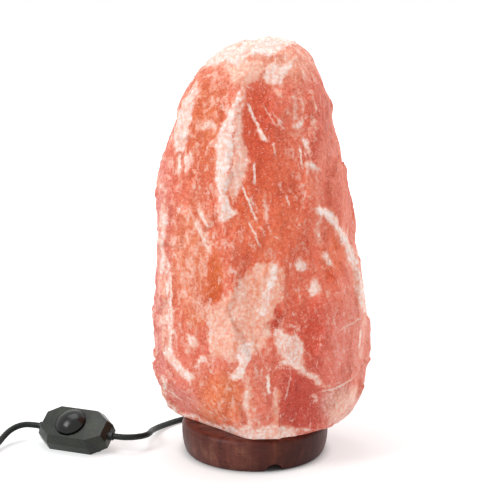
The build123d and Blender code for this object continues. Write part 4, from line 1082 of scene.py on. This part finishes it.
def ringOfScrews(sizes):
    shape = NodeShape("ringOfScrews", sizes)
    size = shape.sizes
    head = shape.cylinder(screwMesh["headSides"], size["Head Radius"], size["Head Height"])
    head = shape.raised(head, shape.scaled(size["Head Height"], 0.5, size["Head Level"]))
    bar = shape.first("ShaderNodeCombineXYZ", {
        "X": shape.scaled(size["Head Radius"], 2.0, screwMesh["slotOverhang"]),
        "Y": size["Slot Width"],
        "Z": shape.scaled(size["Slot Depth"], 2.0),
    })
    slot = shape.raised(shape.first("GeometryNodeMeshCube", {"Size": bar}), size["Head Level"])
    head = shape.first("GeometryNodeMeshBoolean", {0: head, 1: slot}, operation="DIFFERENCE")
    shank = shape.cylinder(screwMesh["shankSides"], size["Shank Radius"], size["Shank Length"])
    underHead = shape.maths("ADD", size["Head Level"], size["Head Height"])
    shank = shape.raised(shank, shape.scaled(size["Shank Length"], 0.5, underHead))
    screw = shape.add("GeometryNodeJoinGeometry")
    for part in (head, shank):
        shape.fill(screw, {0: part})
    circle = shape.first("GeometryNodeMeshCircle", {"Vertices": size["Count"], "Radius": size["Circle"]})
    turn = shape.first("ShaderNodeCombineXYZ", {"Z": size["First Angle"]})
    circle = shape.first("GeometryNodeTransform", {"Geometry": circle, "Rotation": turn})
    placed = {"Points": circle, "Instance": screw.outputs[0]}
    shape.finish(shape.first("GeometryNodeInstanceOnPoints", placed))
    return shape


baseScrews["Finish"] = slotFinishes["zinc_steel"]
screwPiece = ringOfScrews(baseScrews).madeWith("baseScrews", baseScrews)
smoothShade(screwPiece, screwMesh["sharpFrom"])
addPiece(screwPiece, "lamp_body", "zinc_steel", slotFinishes["zinc_steel"], "base_screws")
print("screws set")


# dimmer: the two shells with their edges eased

dimmer = {
    "edge": 0.00035,
    "segments": 3,
    "easedFrom": math.radians(9.0),
    "flatBelow": math.radians(1.0),
}


def mergeFlats(shape):
    bmesh.ops.dissolve_limit(shape, angle_limit=dimmer["flatBelow"], verts=shape.verts, edges=shape.edges)


def easedShell(nodeName, pieceName):
    source = copyOfNode(nodeName, pieceName + "Source")
    reshape(source.data, mergeFlats)
    bevel = source.modifiers.new("easedEdges", "BEVEL")
    bevel.width = dimmer["edge"]
    bevel.segments = dimmer["segments"]
    bevel.limit_method = "ANGLE"
    bevel.angle_limit = dimmer["easedFrom"]
    mesh = bakedMesh(source, pieceName)
    bpy.data.objects.remove(source)
    piece = linkObject(pieceName, mesh)
    smoothShade(piece, dimmer["easedFrom"])
    return addPiece(piece, "cord_set", "dark_case", slotFinishes["dark_case"], nodeName)


upperCase = easedShell("dimmer_top_shell", "upperCase")
lowerCase = easedShell("dimmer_bottom_shell", "lowerCase")
print("dimmer made")


# floor, world and lights

studio = {
    "floorSize": 6.0,
    "floorTint": (0.78, 0.80, 0.80, 1.0),
    "floorLiftAndShade": ((0.052, 0.066, 0.0, 0.47), (0.20, 1.20, 0.0, 0.43)),
    "white": (1.0, 1.0, 1.0, 1.0),
    "worldLevel": 0.32,
    "lightAim": (0.0, 0.0, 0.12),
    # place, power, size
    "lights": {
        "keyLight": ((-1.5, -1.0, 1.6), 23.0, 1.0),
        "fillLight": ((1.5, 0.7, 1.2), 12.0, 1.2),
        "topLight": ((-0.2, 0.35, 1.9), 11.0, 1.2),
    },
}


def emptyTree(owner):
    owner.use_nodes = True
    owner.node_tree.nodes.clear()
    return Nodes(owner.node_tree)


def showsWhite(nodes):
    # 1 for the rays that see the white surroundings as they are shown
    rays = nodes.add("ShaderNodeLightPath").outputs
    seen = nodes.maths("MAXIMUM", rays["Is Camera Ray"], rays["Is Glossy Ray"])
    return nodes.maths("MAXIMUM", seen, rays["Is Transmission Ray"])


def makeFloor():
    shape = bmesh.new()
    bmesh.ops.create_grid(shape, x_segments=2, y_segments=2, size=studio["floorSize"])
    mesh = bpy.data.meshes.new("floor")
    shape.to_mesh(mesh)
    shape.free()
    material = bpy.data.materials.new("paleFloor")
    nodes = emptyTree(material)
    # no lift under the base and a painted contact shadow in a ring at its edge, full lift around it, and a
    # little more far off
    place = nodes.add("ShaderNodeTexCoord").outputs["Object"]
    away = nodes.add("ShaderNodeVectorMath", {0: place}, operation="LENGTH").outputs["Value"]
    near, far = (nodes.remap(away, *lift) for lift in studio["floorLiftAndShade"])
    strength = nodes.maths("MULTIPLY", showsWhite(nodes), nodes.maths("ADD", near, far))
    paint = nodes.first("ShaderNodeBsdfDiffuse", {"Color": studio["floorTint"]})
    lift = nodes.first("ShaderNodeEmission", {"Strength": strength})
    both = nodes.first("ShaderNodeAddShader", {0: paint, 1: lift})
    nodes.add("ShaderNodeOutputMaterial", {"Surface": both})
    mesh.materials.append(material)
    floor = linkObject("floor", mesh)


def makeWorld():
    world = bpy.data.worlds.new("studio")
    bpy.context.scene.world = world
    nodes = emptyTree(world)
    level = nodes.remap(showsWhite(nodes), 0.0, 1.0, studio["worldLevel"], 1.0, kind="LINEAR")
    sky = nodes.first("ShaderNodeBackground", {"Color": studio["white"], "Strength": level})
    nodes.add("ShaderNodeOutputWorld", {"Surface": sky})


def addLight(name, place, power, size):
    data = bpy.data.lights.new(name, "AREA")
    data.energy = power
    data.size = size
    aimFrom(linkObject(name, data), place, studio["lightAim"])


makeFloor()
makeWorld()
for name, settings in studio["lights"].items():
    addLight(name, *settings)
bpy.context.scene.view_settings.view_transform = "Standard"
print("studio set")
